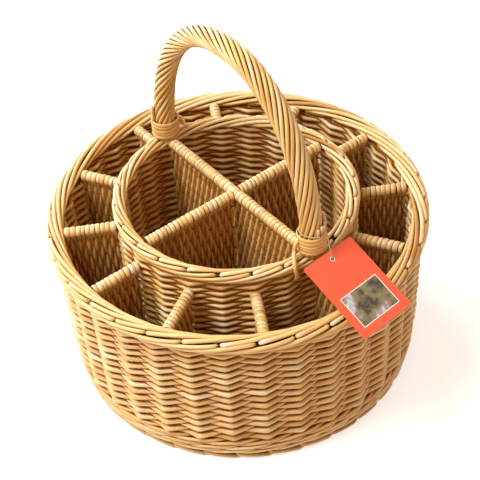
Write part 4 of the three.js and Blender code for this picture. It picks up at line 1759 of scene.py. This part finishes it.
    def build_string(self) -> None:
        """String as a curve, looped round the handle and run down through the tag's hole."""
        line = smooth_line(self.route() * MM, self.string_fill)
        curve = bpy.data.curves.new("tag_cord", "CURVE")
        curve.dimensions = "3D"
        curve.bevel_depth = self.string / 2 * MM
        curve.bevel_resolution = self.string_rounding
        curve.use_fill_caps = True
        spline = curve.splines.new("POLY")
        spline.points.add(len(line) - 1)
        for point, place in zip(spline.points, line):
            point.co = (*place, 1.0)
        cord = bpy.data.objects.new("tag_cord", curve)
        bpy.context.collection.objects.link(cord)
        curve.materials.append(COTTON_STRING.material())
        settle(cord, Body.BASKET, Slot.STRING, "tag_string")


@dataclass(frozen=True)
class RoundLamp:
    """Round lamp that faces the basket, placed as the camera sees it.

    Attributes:
        left: Distance to the left of the basket's axis, in metres.
        beyond: Distance behind the axis, in metres.
        height: Height over the floor, in metres.
        size: Diameter in metres.
        power: Power in watts.
        tint: Colour of its light.
        aim: Height on the basket's axis that it faces, in metres.
    """

    name: str
    left: float
    beyond: float
    height: float
    size: float
    power: float
    tint: Triple
    aim: float = 0.15

    def hang(self, right: Vector, level: Vector) -> None:
        """Add the lamp to the scene.

        Args:
            right: Camera's direction to the right.
            level: Camera's level direction forward.
        """
        lamp = bpy.data.lights.new(self.name, "AREA")
        lamp.shape = "DISK"
        lamp.size = self.size
        lamp.energy = self.power
        lamp.color = self.tint
        holder = bpy.data.objects.new(self.name, lamp)
        place = -right * self.left + level * self.beyond + Vector((0, 0, self.height))
        turn = (Vector((0, 0, self.aim)) - place).to_track_quat("-Z", "Y").to_matrix().to_4x4()
        holder.matrix_world = Matrix.Translation(place) @ turn
        bpy.context.collection.objects.link(holder)


KEY_LAMP = RoundLamp("key", 1.35, -0.45, 2.4, 1.7, 97.0, (0.83, 0.93, 1.0))
WINDOW_LAMP = RoundLamp("window", 1.4, 1.9, 1.2, 1.6, 80.0, (0.64, 0.84, 1.0))


@dataclass(frozen=True)
class FloorFinish:
    """Plain floor that looks white and still takes a shadow.

    Attributes:
        near: Distance from the basket's axis within which it is lifted least, in metres.
        far: Distance from which it is lifted most.
        lift: Least and most light that is added where the floor is seen.
    """

    name: str
    dark: Colour = (0.68, 0.63, 0.58, 1.0)
    pale: Colour = (0.70, 0.65, 0.60, 1.0)
    grain_scale: Triple = (40.0, 40.0, 40.0)
    grain_detail: float = 2.0
    grain_range: Span = (0.3, 0.7)
    roughness: float = 0.8
    near: float = 0.8
    far: float = 2.0
    lift: Span = (0.66, 1.0)

    def material(self) -> bpy.types.Material:
        """Build the material.

        Returns:
            The new material.
        """
        sketch = ShaderSketch(self.name)
        grain = sketch.noise(self.grain_scale, self.grain_detail, uv=False)
        low, high = self.grain_range
        sketch.drive("Base Color", sketch.ramp(grain, {low: self.dark, high: self.pale}))
        sketch.fix("Roughness", self.roughness)
        sketch.fix("Emission Color", WHITE)
        reach = sketch.add("VectorMath", operation="LENGTH")
        sketch.join(sketch.add("TexCoord").outputs["Object"], reach.inputs[0])
        glow = sketch.add("Math", operation="MULTIPLY")
        sketch.join(sketch.number(reach.outputs["Value"], (self.near, self.far), self.lift), glow.inputs[0])
        sketch.join(sketch.seen_rays(), glow.inputs[1])
        sketch.drive("Emission Strength", glow.outputs[0])
        return sketch.material


STUDIO_WHITE = FloorFinish("studio_white")


@dataclass
class Studio:
    """Plain pale floor, soft light and the camera.

    Attributes:
        eye: Camera's place in metres.
        gaze: Direction that it looks in.
        floor_drop: Depth of the floor under the basket's foot, in metres.
    """

    eye: Triple = (1.0690, -0.7666, 1.4153)
    gaze: Triple = (-0.5919, 0.4255, -0.6845)
    roll: float = math.radians(-3.89)
    focal_pixels: float = 1297.42
    picture_pixels: float = 480.0
    sensor: float = 36.0
    ambient: float = 0.56
    ambient_tint: Colour = (1.0, 0.73, 0.43, 1.0)
    floor_size: float = 12.0
    floor_drop: float = 0.0004

    def build(self) -> None:
        """Add the camera, lights and floor."""
        self.camera()
        self.lights()
        self.floor()
        bpy.context.scene.view_settings.view_transform = "Standard"

    def axes(self) -> tuple[Vector, Vector, Vector]:
        """Camera's right, up and forward directions, before its roll.

        Returns:
            The three directions, each of length one.
        """
        forward = Vector(self.gaze).normalized()
        right = forward.cross(Vector((0, 0, 1))).normalized()
        return right, right.cross(forward), forward

    def camera(self) -> None:
        """Camera at the photograph's angle."""
        right, up, forward = self.axes()
        tilted = right * math.cos(self.roll) + up * math.sin(self.roll)
        raised = up * math.cos(self.roll) - right * math.sin(self.roll)
        data = bpy.data.cameras.new("camera")
        data.sensor_width = self.sensor
        data.lens = self.focal_pixels / self.picture_pixels * self.sensor
        camera = bpy.data.objects.new("camera", data)
        turn = Matrix((tilted, raised, -forward)).transposed().to_4x4()
        camera.matrix_world = Matrix.Translation(self.eye) @ turn
        bpy.context.collection.objects.link(camera)
        bpy.context.scene.camera = camera

    def lights(self) -> None:
        """Two lamps on the left, and soft warm light all round from a world that is seen as white."""
        right, _, forward = self.axes()
        level = Vector((forward.x, forward.y, 0)).normalized()
        for lamp in (KEY_LAMP, WINDOW_LAMP):
            lamp.hang(right, level)
        world = bpy.data.worlds.new("studio")
        bpy.context.scene.world = world
        world.use_nodes = True
        sketch = NodeSketch(world.node_tree)
        sky = sketch.tree.nodes["Background"]
        seen = sketch.seen_rays()
        sketch.join(sketch.blend("MIX", seen, self.ambient_tint, WHITE), sky.inputs["Color"])
        sketch.join(sketch.number(seen, (0.0, 1.0), (self.ambient, 1.0)), sky.inputs["Strength"])

    def floor(self) -> None:
        """Wide floor that keeps the basket's shadow."""
        bpy.ops.object.select_all(action="DESELECT")
        bpy.ops.mesh.primitive_plane_add(size=self.floor_size, location=(0, 0, -self.floor_drop))
        floor = bpy.context.object
        floor.name = "studio_floor"
        floor.data.materials.append(STUDIO_WHITE.material())


WILLOW = {Slot.HONEY: HONEY_WILLOW.material(), Slot.PALE: PALE_WILLOW.material(),
          Slot.DARK: SHADED_WILLOW.material()}


def main() -> None:
    """Build the studio and every piece in order."""
    logging.basicConfig(level=logging.INFO, format="%(name)s %(message)s")
    Studio().build()
    SwingTag().build()
    OuterBasket().build()
    InnerRing().build()
    Partitions().build()
    RopedHandle().build()


if __name__ == "__main__":
    main()
